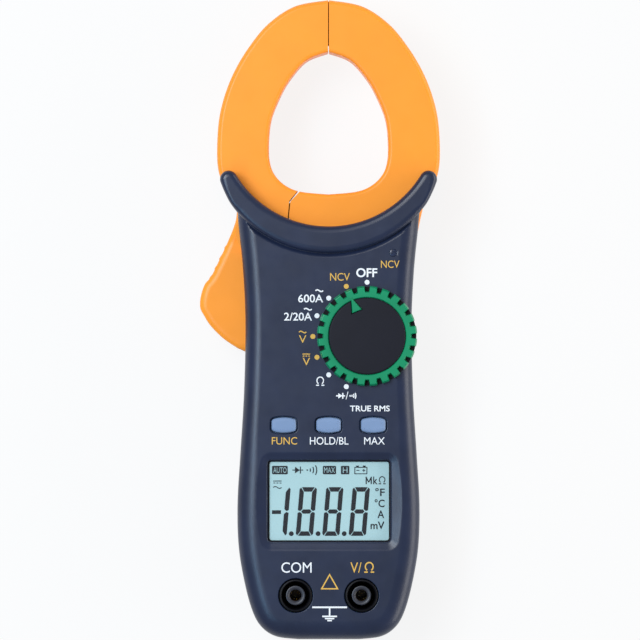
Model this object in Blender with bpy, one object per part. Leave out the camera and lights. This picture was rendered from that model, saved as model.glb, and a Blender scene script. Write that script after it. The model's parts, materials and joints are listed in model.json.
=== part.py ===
"""Clamp meter, lying on its back.

+X is right as seen from the front, +Y points towards the jaws and +Z out of the display face.
The origin is on the centreline of the back, at the face that rests on the bench.
Driving sizes are in millimetres; every mesh is written in metres.
"""

from math import atan2, cos, degrees, hypot, pi, radians, sin, sqrt, tau

import bmesh
import bpy
from mathutils import Matrix, Vector

MM = 0.001
GAP = 0.3

# Case
BACK_Z = 0.0
PARTING_Z = 16.0
FRONT_Z = 31.5
CASE_WALL = 2.0
FRONT_FILLET = 4.5
REAR_FILLET = 4.0
CASE_BOTTOM_Y = -68.0
CASE_SIDE = (
    (-68.0, 10.0), (-67.1, 17.0), (-64.2, 21.6), (-59.2, 24.6), (-50.0, 27.2), (-38.0, 29.2),
    (-24.0, 29.6), (-8.0, 28.7), (12.0, 27.5), (34.0, 27.0), (52.0, 27.8), (66.0, 29.2), (71.0, 29.6),
)
SCREW_PLACES = {
    "case_screw_1": (-22.3, -46.0),
    "case_screw_2": (22.3, -46.0),
    "case_screw_3": (21.3, 64.4),
    "case_screw_4": (-21.3, 64.4),
}

# Crescent guard over the jaws
GUARD_TOP_CENTRE = (0.0, 101.1)
GUARD_TOP_R = 34.6
GUARD_LOW_CENTRE = (0.0, 97.2)
GUARD_LOW_R = 39.7
HORN = (32.1, 81.9)
GUARD_FRONT_Z = (25.3, 33.0)
GUARD_REAR_Z = (0.0, 6.7)

# Jaws
PIVOT = (-21.3, 64.4)
JAW_Z = (7.0, 25.0)
LEVER_Z = (9.0, 23.0)
JAW_BASE_Y = 60.7
JAW_EASE = 1.0
RING_OUTER = (
    (0.0, 140.0), (10.9, 138.0), (19.7, 132.2), (26.2, 124.3), (30.8, 116.5), (33.9, 108.7),
    (35.7, 100.9), (36.3, 92.0), (36.0, 85.3), (34.6, 80.5),
)
RING_HOLE = (
    (0.0, 123.1), (7.0, 120.4), (12.3, 114.6), (15.7, 108.7), (18.7, 100.9), (19.5, 92.0),
    (18.9, 86.2), (16.9, 82.2), (13.4, 79.2), (8.6, 77.5), (0.0, 76.7),
)
LEVER_EDGE = (
    (-30.4, 67.5), (-32.7, 61.8), (-36.2, 54.0), (-40.2, 47.4), (-41.8, 42.4), (-41.3, 38.2), (-38.0, 33.4),
    (-33.7, 29.3), (-29.8, 26.7), (-27.0, 25.4),
)
LEVER_INSIDE = ((-24.4, 26.3), (-23.6, 28.5), (-21.6, 36.5), (-19.4, 46.0), (-17.2, 54.0))
FIXED_CORE_LINE = (
    (-11.2, 71.3), (-5.0, 69.8), (5.0, 69.0), (15.0, 71.2), (23.0, 76.5), (27.4, 84.5), (28.0, 93.0),
    (26.6, 104.0), (22.6, 115.5), (15.3, 125.0), (6.5, 130.5), (0.5, 131.5),
)
MOVING_CORE_LINE = (
    (-0.5, 131.5), (-6.5, 130.5), (-15.3, 125.0), (-22.6, 115.5), (-26.6, 104.0), (-28.0, 93.0),
    (-27.0, 84.0), (-23.6, 77.8), (-19.0, 74.0), (-13.8, 72.2),
)
CORE_WIDTH = 8.0
CORE_Z = (11.0, 21.0)
CHANNEL_WIDTH = 12.6
CHANNEL_Z = (9.0, 23.0)
SPLIT_LINE = ((-13.3, 69.0), (-12.8, 74.6), (-10.1, 77.8))
HUB_R = 9.0
HUB_ROOM_R = 10.8
SLEEVE_R = 3.0
SLEEVE_BORE_R = 1.6

# Range dial
DIAL = (12.5, 30.6)
DIAL_TEETH = 24
DIAL_TIP_R = 16.4
DIAL_ROOT_R = 14.6
TOOTH_TIP_DEG = 3.2
TOOTH_ROOT_DEG = 4.9
DIAL_Z = (31.8, 34.2)
DIAL_CAP_R = 12.4
DIAL_CAP_Z = (33.2, 35.0)
DIAL_REST_DEG = 112.5
DETENT_STEP_DEG = 22.5

# Display, buttons and jacks
WINDOW = (0.2, -23.0)
WINDOW_SIZE = (39.1, 25.8)
WINDOW_Z = (29.4, 30.3)
RECESS_CENTRE = (0.35, -23.1)
RECESS_SIZE = (43.0, 31.4)
RECESS_BOW = 1.8
RECESS_Z = 30.4
PANEL_X = (-21.3, 21.7)
PANEL_Y = (-38.0, -8.0)
PANEL_Z = (27.9, 29.0)
BUTTON_Y = 1.7
BUTTONS = {"button_func": -14.5, "button_hold": 0.0, "button_max": 14.5}
BUTTON_SIZE = (8.1, 3.9)
BUTTON_BOW = 0.5
BUTTON_TOP_Z = 32.3
FLANGE_Z = (28.5, 29.1)
JACKS = {"com": (-10.7, -53.6), "vohm": (10.7, -53.6)}
JACK_HOLE_R = 5.6
JACK_BORE_R = 2.0
LED = (21.0, 57.6)
LED_R = 1.2

# Inside
BOARD_Z = (24.2, 25.8)
BOARD_SCREWS = {"board_screw_1": (-22.5, 8.0), "board_screw_2": (22.5, 8.0), "board_screw_3": (0.0, -45.2)}
CELL_R = 5.25
CELL_LENGTH = 44.5
CELL_X = (-11.0, 0.0, 11.0)
CELL_Z = 8.0
BAY_Y = (-46.6, 2.2)
BAY_X = 16.6
BAY_TOP_Z = 14.0
COVER_CENTRE = (0.0, -25.25)
COVER_SIZE = (35.2, 66.5)
COVER_THICKNESS = 2.0
COVER_SCREW = (0.0, -54.0)

ORANGE = (0.92, 0.36, 0.045)
NAVY = (0.035, 0.048, 0.075)
BLACK = (0.012, 0.012, 0.014)
STEEL = (0.62, 0.63, 0.65)


# ---------------------------------------------------------------- outlines

def smooth_curve(points, steps=4):
    """A Catmull-Rom curve through the points, ends included."""
    padded = [points[0], *points, points[-1]]
    curve = []
    for a, b, c, d in zip(padded, padded[1:], padded[2:], padded[3:]):
        for i in range(steps):
            t = i / steps
            curve.append(tuple(
                0.5 * (2 * q + (r - p) * t + (2 * p - 5 * q + 4 * r - s) * t * t
                       + (3 * q - p - 3 * r + s) * t ** 3)
                for p, q, r, s in zip(a, b, c, d)
            ))
    return curve + [tuple(points[-1])]


def arc(centre, radius, start_deg, end_deg, count):
    """Points along an arc, ends included."""
    angles = [radians(start_deg + (end_deg - start_deg) * i / (count - 1)) for i in range(count)]
    return [(centre[0] + radius * cos(a), centre[1] + radius * sin(a)) for a in angles]


def circle(centre, radius, count=24):
    return arc(centre, radius, 0, 360, count + 1)[:-1]


def between(a, b, count):
    """Evenly spaced points between two points, which are left out."""
    return [(a[0] + (b[0] - a[0]) * i / (count + 1), a[1] + (b[1] - a[1]) * i / (count + 1))
            for i in range(1, count + 1)]


def rounded_rectangle(centre, size, radius, bow_x=0.0, bow_y=0.0, count=4):
    """A rectangle with round corners, whose sides swell by bow_x and whose ends swell by bow_y."""
    half_x, half_y = size[0] / 2 - radius, size[1] / 2 - radius
    corners = [arc((sx * half_x, sy * half_y), radius, 90 * quarter, 90 * quarter + 90, count)
               for quarter, (sx, sy) in enumerate(((1, 1), (-1, 1), (-1, -1), (1, -1)))]
    points = []
    for i, corner in enumerate(corners):
        bowed = bow_y if i % 2 == 0 else bow_x
        points += corner
        points += between(corner[-1], corners[(i + 1) % 4][0], 3 if bowed else 0)
    placed = []
    for x, y in points:
        out_x, out_y = swell(bow_x, x, y / size[1]), swell(bow_y, y, x / size[0])
        placed.append((centre[0] + x + out_x, centre[1] + y + out_y))
    return placed


def grown(size, edge):
    """A size made larger by the same edge on every side."""
    return size[0] + 2 * edge, size[1] + 2 * edge


def swell(bow, offset, place):
    """How far a point moves out on a bowed edge. place runs from -0.5 to 0.5 along the edge."""
    return bow * (1 - 4 * place * place) * (1 if offset > 0 else -1)


def mirrored(points):
    return [(-x, y) for x, y in reversed(points)]


def ribbon(line, width, extend=0.0):
    """The outline of a strip of the given width along a smooth line, longer at both ends by extend."""
    line = smooth_curve(line, 2)
    left, right = [], []
    for i, (x, y) in enumerate(line):
        before, after = line[max(i - 1, 0)], line[min(i + 1, len(line) - 1)]
        dx, dy = after[0] - before[0], after[1] - before[1]
        length = hypot(dx, dy)
        dx, dy = dx / length, dy / length
        reach = extend * ((i == len(line) - 1) - (i == 0))
        x, y = x + dx * reach, y + dy * reach
        left.append((x - dy * width / 2, y + dx * width / 2))
        right.append((x + dy * width / 2, y - dx * width / 2))
    return left + right[::-1]


def side_curve(steps=2):
    """The case's half width along its length, as (y, half width)."""
    return smooth_curve(CASE_SIDE, steps)


def crescent(clearance=0.0):
    """The guard's outline: two arcs that end in round horns."""
    top_r = GUARD_TOP_R + clearance
    reach = hypot(HORN[0] - GUARD_TOP_CENTRE[0], HORN[1] - GUARD_TOP_CENTRE[1])
    horn_r = reach - top_r
    horn_deg = degrees(atan2(HORN[1] - GUARD_TOP_CENTRE[1], HORN[0] - GUARD_TOP_CENTRE[0]))
    right_horn = arc(HORN, horn_r, -25, horn_deg + 180, 7)
    lower = arc(GUARD_LOW_CENTRE, GUARD_LOW_R - clearance, -142, -38, 21)
    upper = arc(GUARD_TOP_CENTRE, top_r, horn_deg, -180 - horn_deg, 23)[1:-1]
    return lower + right_horn + upper + mirrored(right_horn)


# ---------------------------------------------------------------- meshes

def new_object(name, bm, smooth_deg=30):
    """Makes an object from a bmesh in millimetres."""
    bmesh.ops.scale(bm, vec=(MM, MM, MM), verts=bm.verts)
    bmesh.ops.recalc_face_normals(bm, faces=bm.faces)
    mesh = bpy.data.meshes.new(name)
    bm.to_mesh(mesh)
    bm.free()
    mesh.shade_smooth()
    mesh.set_sharp_from_angle(angle=radians(smooth_deg))
    obj = bpy.data.objects.new(name, mesh)
    bpy.context.scene.collection.objects.link(obj)
    return obj


def bridge(bm, rings, closed=False):
    """Joins rings of vertices of one length with quads."""
    pairs = list(zip(rings, rings[1:]))
    if closed:
        pairs.append((rings[-1], rings[0]))
    for low, high in pairs:
        for i in range(len(low)):
            j = (i + 1) % len(low)
            bm.faces.new((low[i], low[j], high[j], high[i]))


def add_stack(bm, layers):
    """A solid through outlines of one length, each with its height, closed by flat caps."""
    rings = [[bm.verts.new((x, y, z)) for x, y in outline] for outline, z in layers]
    bridge(bm, rings)
    bm.faces.new(rings[0][::-1])
    bm.faces.new(rings[-1])


def prism(name, outline, z_low, z_high):
    bm = bmesh.new()
    add_stack(bm, [(outline, z_low), (outline, z_high)])
    return new_object(name, bm)


def chamfered_prism(name, outline, inner, z_low, z_high, chamfer, top=True, bottom=False):
    """A prism whose chosen ends step in to the inner outline over the chamfer's height."""
    layers = [(outline, z_low + (chamfer if bottom else 0)), (outline, z_high - (chamfer if top else 0))]
    if bottom:
        layers.insert(0, (inner, z_low))
    if top:
        layers.append((inner, z_high))
    bm = bmesh.new()
    add_stack(bm, layers)
    return new_object(name, bm)


def prisms(name, outlines, z_low, z_high):
    """Several prisms that don't touch, in one mesh, for cutting."""
    bm = bmesh.new()
    for outline in outlines:
        add_stack(bm, [(outline, z_low), (outline, z_high)])
    return new_object(name, bm)


def turned(name, centre, profile, count=32, closed=False):
    """A solid of revolution about a vertical axis. The profile is (radius, z) and starts and ends
    on the axis, unless it is closed into a ring."""
    bm = bmesh.new()
    rings = []
    for radius, z in profile:
        if radius == 0:
            rings.append(bm.verts.new((centre[0], centre[1], z)))
        else:
            rings.append([bm.verts.new((x, y, z)) for x, y in circle(centre, radius, count)])
    pairs = list(zip(rings, rings[1:]))
    if closed:
        pairs.append((rings[-1], rings[0]))
    for low, high in pairs:
        for i in range(count):
            j = (i + 1) % count
            if isinstance(low, bmesh.types.BMVert):
                bm.faces.new((low, high[j], high[i]))
            elif isinstance(high, bmesh.types.BMVert):
                bm.faces.new((low[i], low[j], high))
            else:
                bm.faces.new((low[i], low[j], high[j], high[i]))
    return new_object(name, bm)


def rod(name, centre, radius, z_low, z_high, count=24):
    return turned(name, centre, [(0, z_low), (radius, z_low), (radius, z_high), (0, z_high)], count)


def tube(name, centre, outer_r, inner_r, z_low, z_high, count=32):
    profile = [(outer_r, z_low), (outer_r, z_high), (inner_r, z_high), (inner_r, z_low)]
    return turned(name, centre, profile, count, closed=True)


def box(name, low, high):
    outline = [(low[0], low[1]), (high[0], low[1]), (high[0], high[1]), (low[0], high[1])]
    return prism(name, outline, low[2], high[2])


def coil_spring(name, start, end, coil_r, wire_r, turns, sides=4, per_turn=8):
    """A round wire wound about the line from start to end."""
    start, end = Vector(start), Vector(end)
    axis = (end - start).normalized()
    across = axis.orthogonal().normalized()
    up = axis.cross(across)
    count = int(turns * per_turn)
    length = (end - start).length - 2 * wire_r
    slope = length / (turns * tau * coil_r)
    bm = bmesh.new()
    rings = []
    for i in range(count + 1):
        angle = tau * turns * i / count
        out = across * cos(angle) + up * sin(angle)
        along = axis + (up * cos(angle) - across * sin(angle)) / max(slope, 1e-6)
        along.normalize()
        side = out.cross(along)
        middle = start + axis * (wire_r + length * i / count) + out * coil_r
        ring = []
        for k in range(sides):
            round_wire = out * cos(tau * k / sides) + side * sin(tau * k / sides)
            ring.append(bm.verts.new(middle + round_wire * wire_r))
        rings.append(ring)
    bridge(bm, rings)
    bm.faces.new(rings[0][::-1])
    bm.faces.new(rings[-1])
    return new_object(name, bm, 60)


def along_case(name, wall, z_side, z_face, fillet, top_y=None):
    """A solid that follows the case's half width, less the wall, from z_side to a face with round edges.
    Its lower end is rounded too. It runs up to top_y, or over the whole side curve."""
    up = 1 if z_face > z_side else -1
    bottom = CASE_BOTTOM_Y + wall
    if top_y is None:
        top_y = CASE_SIDE[-1][0]
    stations = [(y, w) for y, w in side_curve() if bottom + 0.2 < y < top_y - 0.2]
    bm = bmesh.new()
    rings = []
    for y, half in [(bottom, stations[0][1] - 0.5), *stations, (top_y, stations[-1][1])]:
        half -= wall
        r = max(fillet, 0.4)
        into = r - min(y - bottom, r)
        drop = r - sqrt(max(r * r - into * into, 0.0))
        face = z_face - up * drop
        corner = []
        for i in range(5):
            angle = radians(90 * i / 4)
            corner.append((half - r + r * cos(angle), face - up * (r - r * sin(angle))))
        section = [(half, z_side), *corner]
        section += [(-x, z) for x, z in reversed(section)]
        rings.append([bm.verts.new((x, y, z)) for x, z in section])
    bridge(bm, rings)
    bm.faces.new(rings[0][::-1])
    bm.faces.new(rings[-1])
    return new_object(name, bm, 40)


# ---------------------------------------------------------------- combining

def combine(target, tool, operation):
    modifier = target.modifiers.new(tool.name, "BOOLEAN")
    modifier.operation = operation
    modifier.solver = "EXACT"
    modifier.object = tool
    tool.hide_render = True
    tool.display_type = "WIRE"


def cut(target, *tools):
    for tool in tools:
        combine(target, tool, "DIFFERENCE")


def join(target, *tools):
    for tool in tools:
        combine(target, tool, "UNION")


def material(name, colour, roughness, metallic=0.0, alpha=1.0):
    found = bpy.data.materials.get(name)
    if found:
        return found
    made = bpy.data.materials.new(name)
    made.use_nodes = True
    shader = made.node_tree.nodes["Principled BSDF"]
    shader.inputs["Base Color"].default_value = (*colour, 1.0)
    shader.inputs["Roughness"].default_value = roughness
    shader.inputs["Metallic"].default_value = metallic
    shader.inputs["Alpha"].default_value = alpha
    return made


def finish(obj, look):
    obj.data.materials.clear()
    obj.data.materials.append(look)
    return obj


def hang(obj, empty):
    """Puts a piece's origin on its joint's axis, under the joint's empty."""
    obj.data.transform(Matrix.Translation(-empty.location))
    obj.parent = empty


def joint_empty(name, x, y, z):
    empty = bpy.data.objects.new(name, None)
    empty.location = (x * MM, y * MM, z * MM)
    bpy.context.scene.collection.objects.link(empty)
    return empty


# ---------------------------------------------------------------- looks

def looks():
    return {
        "case": material("case_blue", NAVY, 0.45),
        "jaw": material("jaw_orange", ORANGE, 0.35),
        "dial": material("dial_green", (0.01, 0.28, 0.11), 0.4),
        "cap": material("dial_black", (0.022, 0.024, 0.032), 0.5),
        "button": material("button_grey_blue", (0.22, 0.34, 0.56), 0.5),
        "window": material("window_clear", (0.85, 0.93, 0.95), 0.05, 0.0, 0.35),
        "lcd": material("lcd_glass", (0.45, 0.60, 0.66), 0.2),
        "white": material("white_plastic", (0.8, 0.8, 0.78), 0.5),
        "black": material("black_plastic", BLACK, 0.5),
        "rubber": material("zebra_rubber", (0.03, 0.03, 0.03), 0.8),
        "steel": material("steel", STEEL, 0.35, 1.0),
        "core": material("core_steel", (0.35, 0.35, 0.36), 0.5, 1.0),
        "copper": material("copper_winding", (0.55, 0.22, 0.07), 0.35, 1.0),
        "brass": material("brass", (0.72, 0.52, 0.2), 0.3, 1.0),
        "board": material("circuit_board", (0.01, 0.16, 0.06), 0.45),
        "cell": material("cell_jacket", (0.12, 0.12, 0.13), 0.35),
        "ptc": material("ptc_ceramic", (0.6, 0.3, 0.05), 0.6),
        "led": material("led_red", (0.5, 0.02, 0.02), 0.15),
    }


# ---------------------------------------------------------------- case

def jaw_room(name, z_low, z_high):
    """The space between the two guards that the jaws lie and swing in."""
    across = [(-50, JAW_BASE_Y - GAP), (50, JAW_BASE_Y - GAP), (50, 150), (-50, 150)]
    return prism(name, across, z_low, z_high)


def lever_slot(name, z_low, z_high):
    """The opening in the case's left side that the trigger swings through."""
    return prism(name, [(-50, 24.6), (-20, 24.6), (-20, 64), (-50, 64)], z_low, z_high)


def guard(name, z_range, outer_up):
    """One crescent guard, with its outer edges eased."""
    outline, face = crescent(), crescent(0.7)
    return chamfered_prism(name, outline, face, *z_range, 0.8, top=outer_up, bottom=not outer_up)


def guard_pocket(name, z_low, z_high):
    """The hollow under a guard, which leaves its wall and room for the posts at both ends."""
    inner = arc(GUARD_TOP_CENTRE, GUARD_TOP_R + CASE_WALL, -112, -68, 15)
    outer = arc(GUARD_TOP_CENTRE, GUARD_TOP_R + 7.5, -68, -112, 15)
    return prism(name, inner + outer, z_low, z_high)


def front_case(look):
    body = along_case("front_case", 0.0, PARTING_Z, FRONT_Z, FRONT_FILLET)
    cut(body, prism("front_top_cut", circle(GUARD_TOP_CENTRE, GUARD_TOP_R + 1.6, 64), 10, 40))
    join(body, guard("front_guard", GUARD_FRONT_Z, True))
    cavity = along_case("front_cavity", CASE_WALL, PARTING_Z - 2, FRONT_Z - CASE_WALL,
                        FRONT_FILLET - CASE_WALL, 61)
    low_posts = [circle(place, 3.2, 16) for place in SCREW_PLACES.values() if place[1] < 0]
    board_posts = [circle(place, 2.1, 12) for place in BOARD_SCREWS.values()]
    cut(cavity, prisms("front_posts", low_posts, PARTING_Z + GAP, 40))
    cut(cavity, prisms("board_posts", [*board_posts, circle(DIAL, 13.9, 40)], BOARD_Z[1] + 2 * GAP, 41))
    cut(body, cavity)
    cut(body, jaw_room("front_jaw_room", PARTING_Z - 3, GUARD_FRONT_Z[0]))
    cut(body, prism("front_hub_room", circle(PIVOT, HUB_ROOM_R, 32), PARTING_Z - 3, GUARD_FRONT_Z[0]))
    cut(body, lever_slot("front_lever_slot", PARTING_Z - 2.5, LEVER_Z[1] + 0.4))
    cut(body, guard_pocket("front_guard_pocket", PARTING_Z, FRONT_Z - 0.4))
    screw_holes = [circle(place, 1.6, 12) for place in SCREW_PLACES.values()]
    cut(body, prisms("front_screw_holes", screw_holes, PARTING_Z - 1, FRONT_Z - 2.6))
    pilot_holes = [circle(place, 1.0, 8) for place in BOARD_SCREWS.values()]
    cut(body, prisms("board_screw_holes", pilot_holes, BOARD_Z[0], FRONT_Z - 1.8))
    cut(body, prism("detent_room", detent_wave(), BOARD_Z[0], FRONT_Z - CASE_WALL))
    cut(body, *front_openings())
    return finish(body, look["case"])


def detent_wave():
    """The inner wall of the detent ring, with a valley at every range position."""
    points = []
    for i in range(64):
        angle = tau * i / 64
        radius = 12.4 + 0.25 * cos(360 / DETENT_STEP_DEG * (angle - radians(DIAL_REST_DEG)))
        points.append((DIAL[0] + radius * cos(angle), DIAL[1] + radius * sin(angle)))
    return points


def front_openings():
    """The display's recess and opening, and the holes for the jacks, dial, lamp and buttons."""
    recess = rounded_rectangle(RECESS_CENTRE, RECESS_SIZE, 2.0, bow_x=RECESS_BOW)
    window = rounded_rectangle(WINDOW, grown(WINDOW_SIZE, GAP), 0.9)
    holes = [circle(place, JACK_HOLE_R) for place in JACKS.values()]
    holes += [circle(DIAL, 9.0, 32), circle(LED, LED_R + GAP, 12)]
    for x in BUTTONS.values():
        holes.append(rounded_rectangle((x, BUTTON_Y), grown(BUTTON_SIZE, GAP), 1.5, 0, BUTTON_BOW))
    return (
        prism("display_recess", recess, RECESS_Z, 40),
        prism("display_opening", window, 20, 40),
        prisms("face_holes", holes, 24, 40),
    )


def rear_case(look):
    body = along_case("rear_case", 0.0, PARTING_Z - GAP, BACK_Z, REAR_FILLET)
    cut(body, prism("rear_top_cut", circle(GUARD_TOP_CENTRE, GUARD_TOP_R + 1.6, 64), -10, 20))
    join(body, guard("rear_guard", GUARD_REAR_Z, False))
    cut(body, along_case("rear_cavity", CASE_WALL, PARTING_Z + 2, CASE_WALL, REAR_FILLET - CASE_WALL, 61))
    cut(body, jaw_room("rear_jaw_room", GUARD_REAR_Z[1], PARTING_Z + 3))
    cut(body, prism("rear_hub_room", circle(PIVOT, HUB_ROOM_R, 32), GUARD_REAR_Z[1], PARTING_Z + 3))
    cut(body, lever_slot("rear_lever_slot", LEVER_Z[0] - 0.4, PARTING_Z + 2.5))
    cover_room = rounded_rectangle(COVER_CENTRE, grown(COVER_SIZE, GAP), 2.3)
    cover_floor = rounded_rectangle(COVER_CENTRE, grown(COVER_SIZE, 1.6), 2.3)
    join(body, prism("cover_floor", cover_floor, 0.6, 4.3))
    wall = 1.5
    bay_low = (-BAY_X - wall, BAY_Y[0] - wall, 1.2)
    bay_high = (BAY_X + wall, BAY_Y[1] + wall, BAY_TOP_Z + 1.6)
    join(body, box("bay_walls", bay_low, bay_high))
    join(body, box("spring_rib", (-7.0, 44.5, 1.0), (-5.2, 55.5, 21.0)))
    low_posts = [place for place in SCREW_PLACES.values() if place[1] < 0]
    join(body, *[prism("screw_post", circle(place, 3.7, 16), 1.1, PARTING_Z - 0.4) for place in low_posts])
    join(body, prism("cover_post", circle(COVER_SCREW, 2.8, 16), 1.3, 11.0))
    cut(body, prism("cover_recess", cover_room, -5, COVER_THICKNESS + GAP))
    cut(body, box("bay_room", (-BAY_X, BAY_Y[0], -6), (BAY_X, BAY_Y[1], BAY_TOP_Z)))
    shanks = [circle(place, 1.6, 12) for place in SCREW_PLACES.values()]
    heads = [circle(place, 3.1, 16) for place in SCREW_PLACES.values()]
    cut(body, prisms("screw_shank_holes", shanks, -2, 20))
    cut(body, prisms("screw_head_holes", heads, -3, 3.2))
    cut(body, prism("cover_screw_hole", circle(COVER_SCREW, 1.5, 16), -4, 9.5))
    return finish(body, look["case"])


def battery_cover(look):
    outline = rounded_rectangle(COVER_CENTRE, COVER_SIZE, 2.0)
    cover = prism("battery_cover", outline, BACK_Z, COVER_THICKNESS)
    grips = [rounded_rectangle((0, y), (16, 0.9), 0.4, count=3) for y in (-34.0, -31.5, -29.0, -26.5)]
    cut(cover, prisms("cover_grips", grips, -1, 0.5))
    cut(cover, prism("cover_head_hole", circle(COVER_SCREW, 3.0, 24), -1, 1.15))
    cut(cover, prism("cover_shank_hole", circle(COVER_SCREW, 1.5, 16), -1.5, 3))
    return finish(cover, look["case"])


def screw(name, place, head_r, head_height, head_z, shank_r, tip_z, look):
    """A cross-head screw. Its head starts at head_z and its shank runs up to tip_z."""
    profile = [(0, head_z), (head_r * 0.8, head_z), (head_r, head_z + 0.35 * head_height),
               (head_r, head_z + head_height), (shank_r, head_z + head_height),
               (shank_r, tip_z - shank_r), (shank_r * 0.4, tip_z), (0, tip_z)]
    body = turned(name, place, profile, 10)
    low, high = head_z - 1, head_z + head_height * 0.7
    a, b = 0.6 * head_r, 0.16 * head_r
    cross = [(a, b), (b, b), (b, a), (-b, a), (-b, b), (-a, b),
             (-a, -b), (-b, -b), (-b, -a), (b, -a), (b, -b), (a, -b)]
    cut(body, prism(name + "_cross", [(place[0] + x, place[1] + y) for x, y in cross], low, high))
    return finish(body, look["steel"])


def fasteners(look):
    for name, place in SCREW_PLACES.items():
        screw(name, place, 2.6, 1.6, 1.3, 1.25, 28.3, look)
    screw("battery_cover_screw", COVER_SCREW, 2.5, 0.8, 0.05, 1.1, 8.8, look)
    for name, place in BOARD_SCREWS.items():
        screw(name, place, 1.8, 1.1, BOARD_Z[0] - GAP - 1.1, 0.7, 29.0, look)


# ---------------------------------------------------------------- jaws

def fixed_jaw_outline():
    """The jaw from its top, down its outer edge, along its foot and back up round the hole."""
    outer = smooth_curve([(x if x else 0.15, y) for x, y in RING_OUTER], 2)
    hole = smooth_curve(RING_HOLE, 2)[::-1]
    to_split = [(x, y) for x, y in hole if x > 0.2][::-1]
    sleeve = arc(PIVOT, HUB_R + 0.7, 29, -4, 6)
    base = [(31.6, 74.6), (30.3, 70.2), (29.1, 64.5), (28.4, JAW_BASE_Y), (-9.0, JAW_BASE_Y)]
    base_end, knee, rim_end = SPLIT_LINE
    split = [(base_end[0] + 0.35, base_end[1] + 0.5), (knee[0] + 0.35, knee[1] - 0.1),
             (rim_end[0] + 0.3, rim_end[1] - 0.02)]
    bottom_hole = [(-x, y) for x, y in hole if 0.5 < x < 9.5 and y < 80]
    left_rim = sorted(bottom_hole, key=lambda p: p[0])
    start = [(0.15, 123.08)]
    right_rim = [RING_HOLE[-1]] + to_split[::-1]
    return outer + base + sleeve[::-1] + split + left_rim + right_rim + start


def moving_jaw_outline():
    """The jaw with its trigger and hub, from its top down the outer edge and back up round the hole."""
    outer = [(-x if x else -0.15, y) for x, y in smooth_curve(RING_OUTER, 2)]
    side = [(-31.9, 75.6), (-29.8, 71.5), (-30.4, 67.5)]
    lever = smooth_curve(LEVER_EDGE, 3)
    inner = list(LEVER_INSIDE)
    hub = arc(PIVOT, HUB_R, -60, 28, 9)
    hole = [(-x, y) for x, y in smooth_curve(RING_HOLE, 2) if x > 0.2]
    rim = [(x, y) for x, y in hole if not (y < 80 and x > -10.6)]
    start = [(-0.15, 123.08)]
    return outer + side + lever[1:] + inner + hub + list(SPLIT_LINE) + rim[::-1] + start


def split_by_lever(outline):
    """The thick jaw and the thinner lever below it, as two outlines that overlap at the hub."""
    high = [p for p in outline if p[1] > 60.5 or hypot(p[0] - PIVOT[0], p[1] - PIVOT[1]) < HUB_R + 0.2]
    return high, outline


def jaw_half(name, outline, z_low, z_high, face_low, core_line, look):
    """Half of a hollow jaw: an open tray with a channel for the core, and its outer edges eased."""
    inner = eased(outline, JAW_EASE)
    body = chamfered_prism(name, outline, inner, z_low, z_high, JAW_EASE, top=not face_low, bottom=face_low)
    channel = ribbon(core_line, CHANNEL_WIDTH, 4.0)
    channel_low = CHANNEL_Z[0] if face_low else PARTING_Z - 2
    cut(body, prism(name + "_channel", channel, channel_low, CHANNEL_Z[1]))
    return finish(body, look["jaw"])


def eased(outline, amount):
    """The outline moved inwards by the amount, point by point."""
    count = len(outline)
    area = sum(outline[i][0] * outline[(i + 1) % count][1] - outline[(i + 1) % count][0] * outline[i][1]
               for i in range(count))
    turn = 1 if area > 0 else -1
    moved = []
    for i, (x, y) in enumerate(outline):
        (x0, y0), (x1, y1) = outline[i - 1], outline[(i + 1) % count]
        a, b = Vector((x - x0, y - y0)).normalized(), Vector((x1 - x, y1 - y)).normalized()
        along = (a + b).normalized() if (a + b).length > 1e-6 else b
        normal = Vector((-along.y, along.x)) * turn
        spread = max(abs(normal.dot(Vector((-b.y, b.x)))), 0.6)
        moved.append((x + normal.x * amount / spread, y + normal.y * amount / spread))
    return moved


def jaws(look):
    halves = {"back": (JAW_Z[0], PARTING_Z - 0.15, True), "front": (PARTING_Z + 0.15, JAW_Z[1], False)}
    fixed_screw = SCREW_PLACES["case_screw_3"]
    moving = []
    for half, (z_low, z_high, face_low) in halves.items():
        fixed = jaw_half("fixed_jaw_" + half, fixed_jaw_outline(), z_low, z_high, face_low,
                         FIXED_CORE_LINE, look)
        cut(fixed, prism("fixed_screw_hole_" + half, circle(fixed_screw, 1.8, 20), 0, 40))
        jaw_part, whole = split_by_lever(moving_jaw_outline())
        arm = jaw_half("moving_jaw_" + half, jaw_part, z_low, z_high, face_low, MOVING_CORE_LINE, look)
        lever_low, lever_high = (LEVER_Z[0], z_high) if face_low else (z_low, LEVER_Z[1])
        lever = prism("lever_" + half, [p for p in whole if p[1] < 66], lever_low, lever_high)
        join(arm, lever)
        cut(arm, prism("sleeve_hole_" + half, circle(PIVOT, SLEEVE_R + 0.4, 24), 0, 40))
        moving.append(arm)
    fixed_core = prism("fixed_jaw_core", ribbon(FIXED_CORE_LINE, CORE_WIDTH), *CORE_Z)
    moving_core = prism("moving_jaw_core", ribbon(MOVING_CORE_LINE, CORE_WIDTH), *CORE_Z)
    finish(fixed_core, look["core"])
    moving.append(finish(moving_core, look["core"]))
    finish(winding("fixed_jaw_coil", FIXED_CORE_LINE[5:8]), look["copper"])
    moving.append(finish(winding("moving_jaw_coil", MOVING_CORE_LINE[4:7]), look["copper"]))
    return moving


def winding(name, line):
    """A coil around the core, along part of its line."""
    body = prism(name, ribbon(line, CORE_WIDTH + 3.6), CORE_Z[0] - 1.6, CORE_Z[1] + 1.6)
    cut(body, prism(name + "_bore", ribbon(line, CORE_WIDTH + 0.6, 3.0), CORE_Z[0] - GAP, CORE_Z[1] + GAP))
    return body


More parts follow.
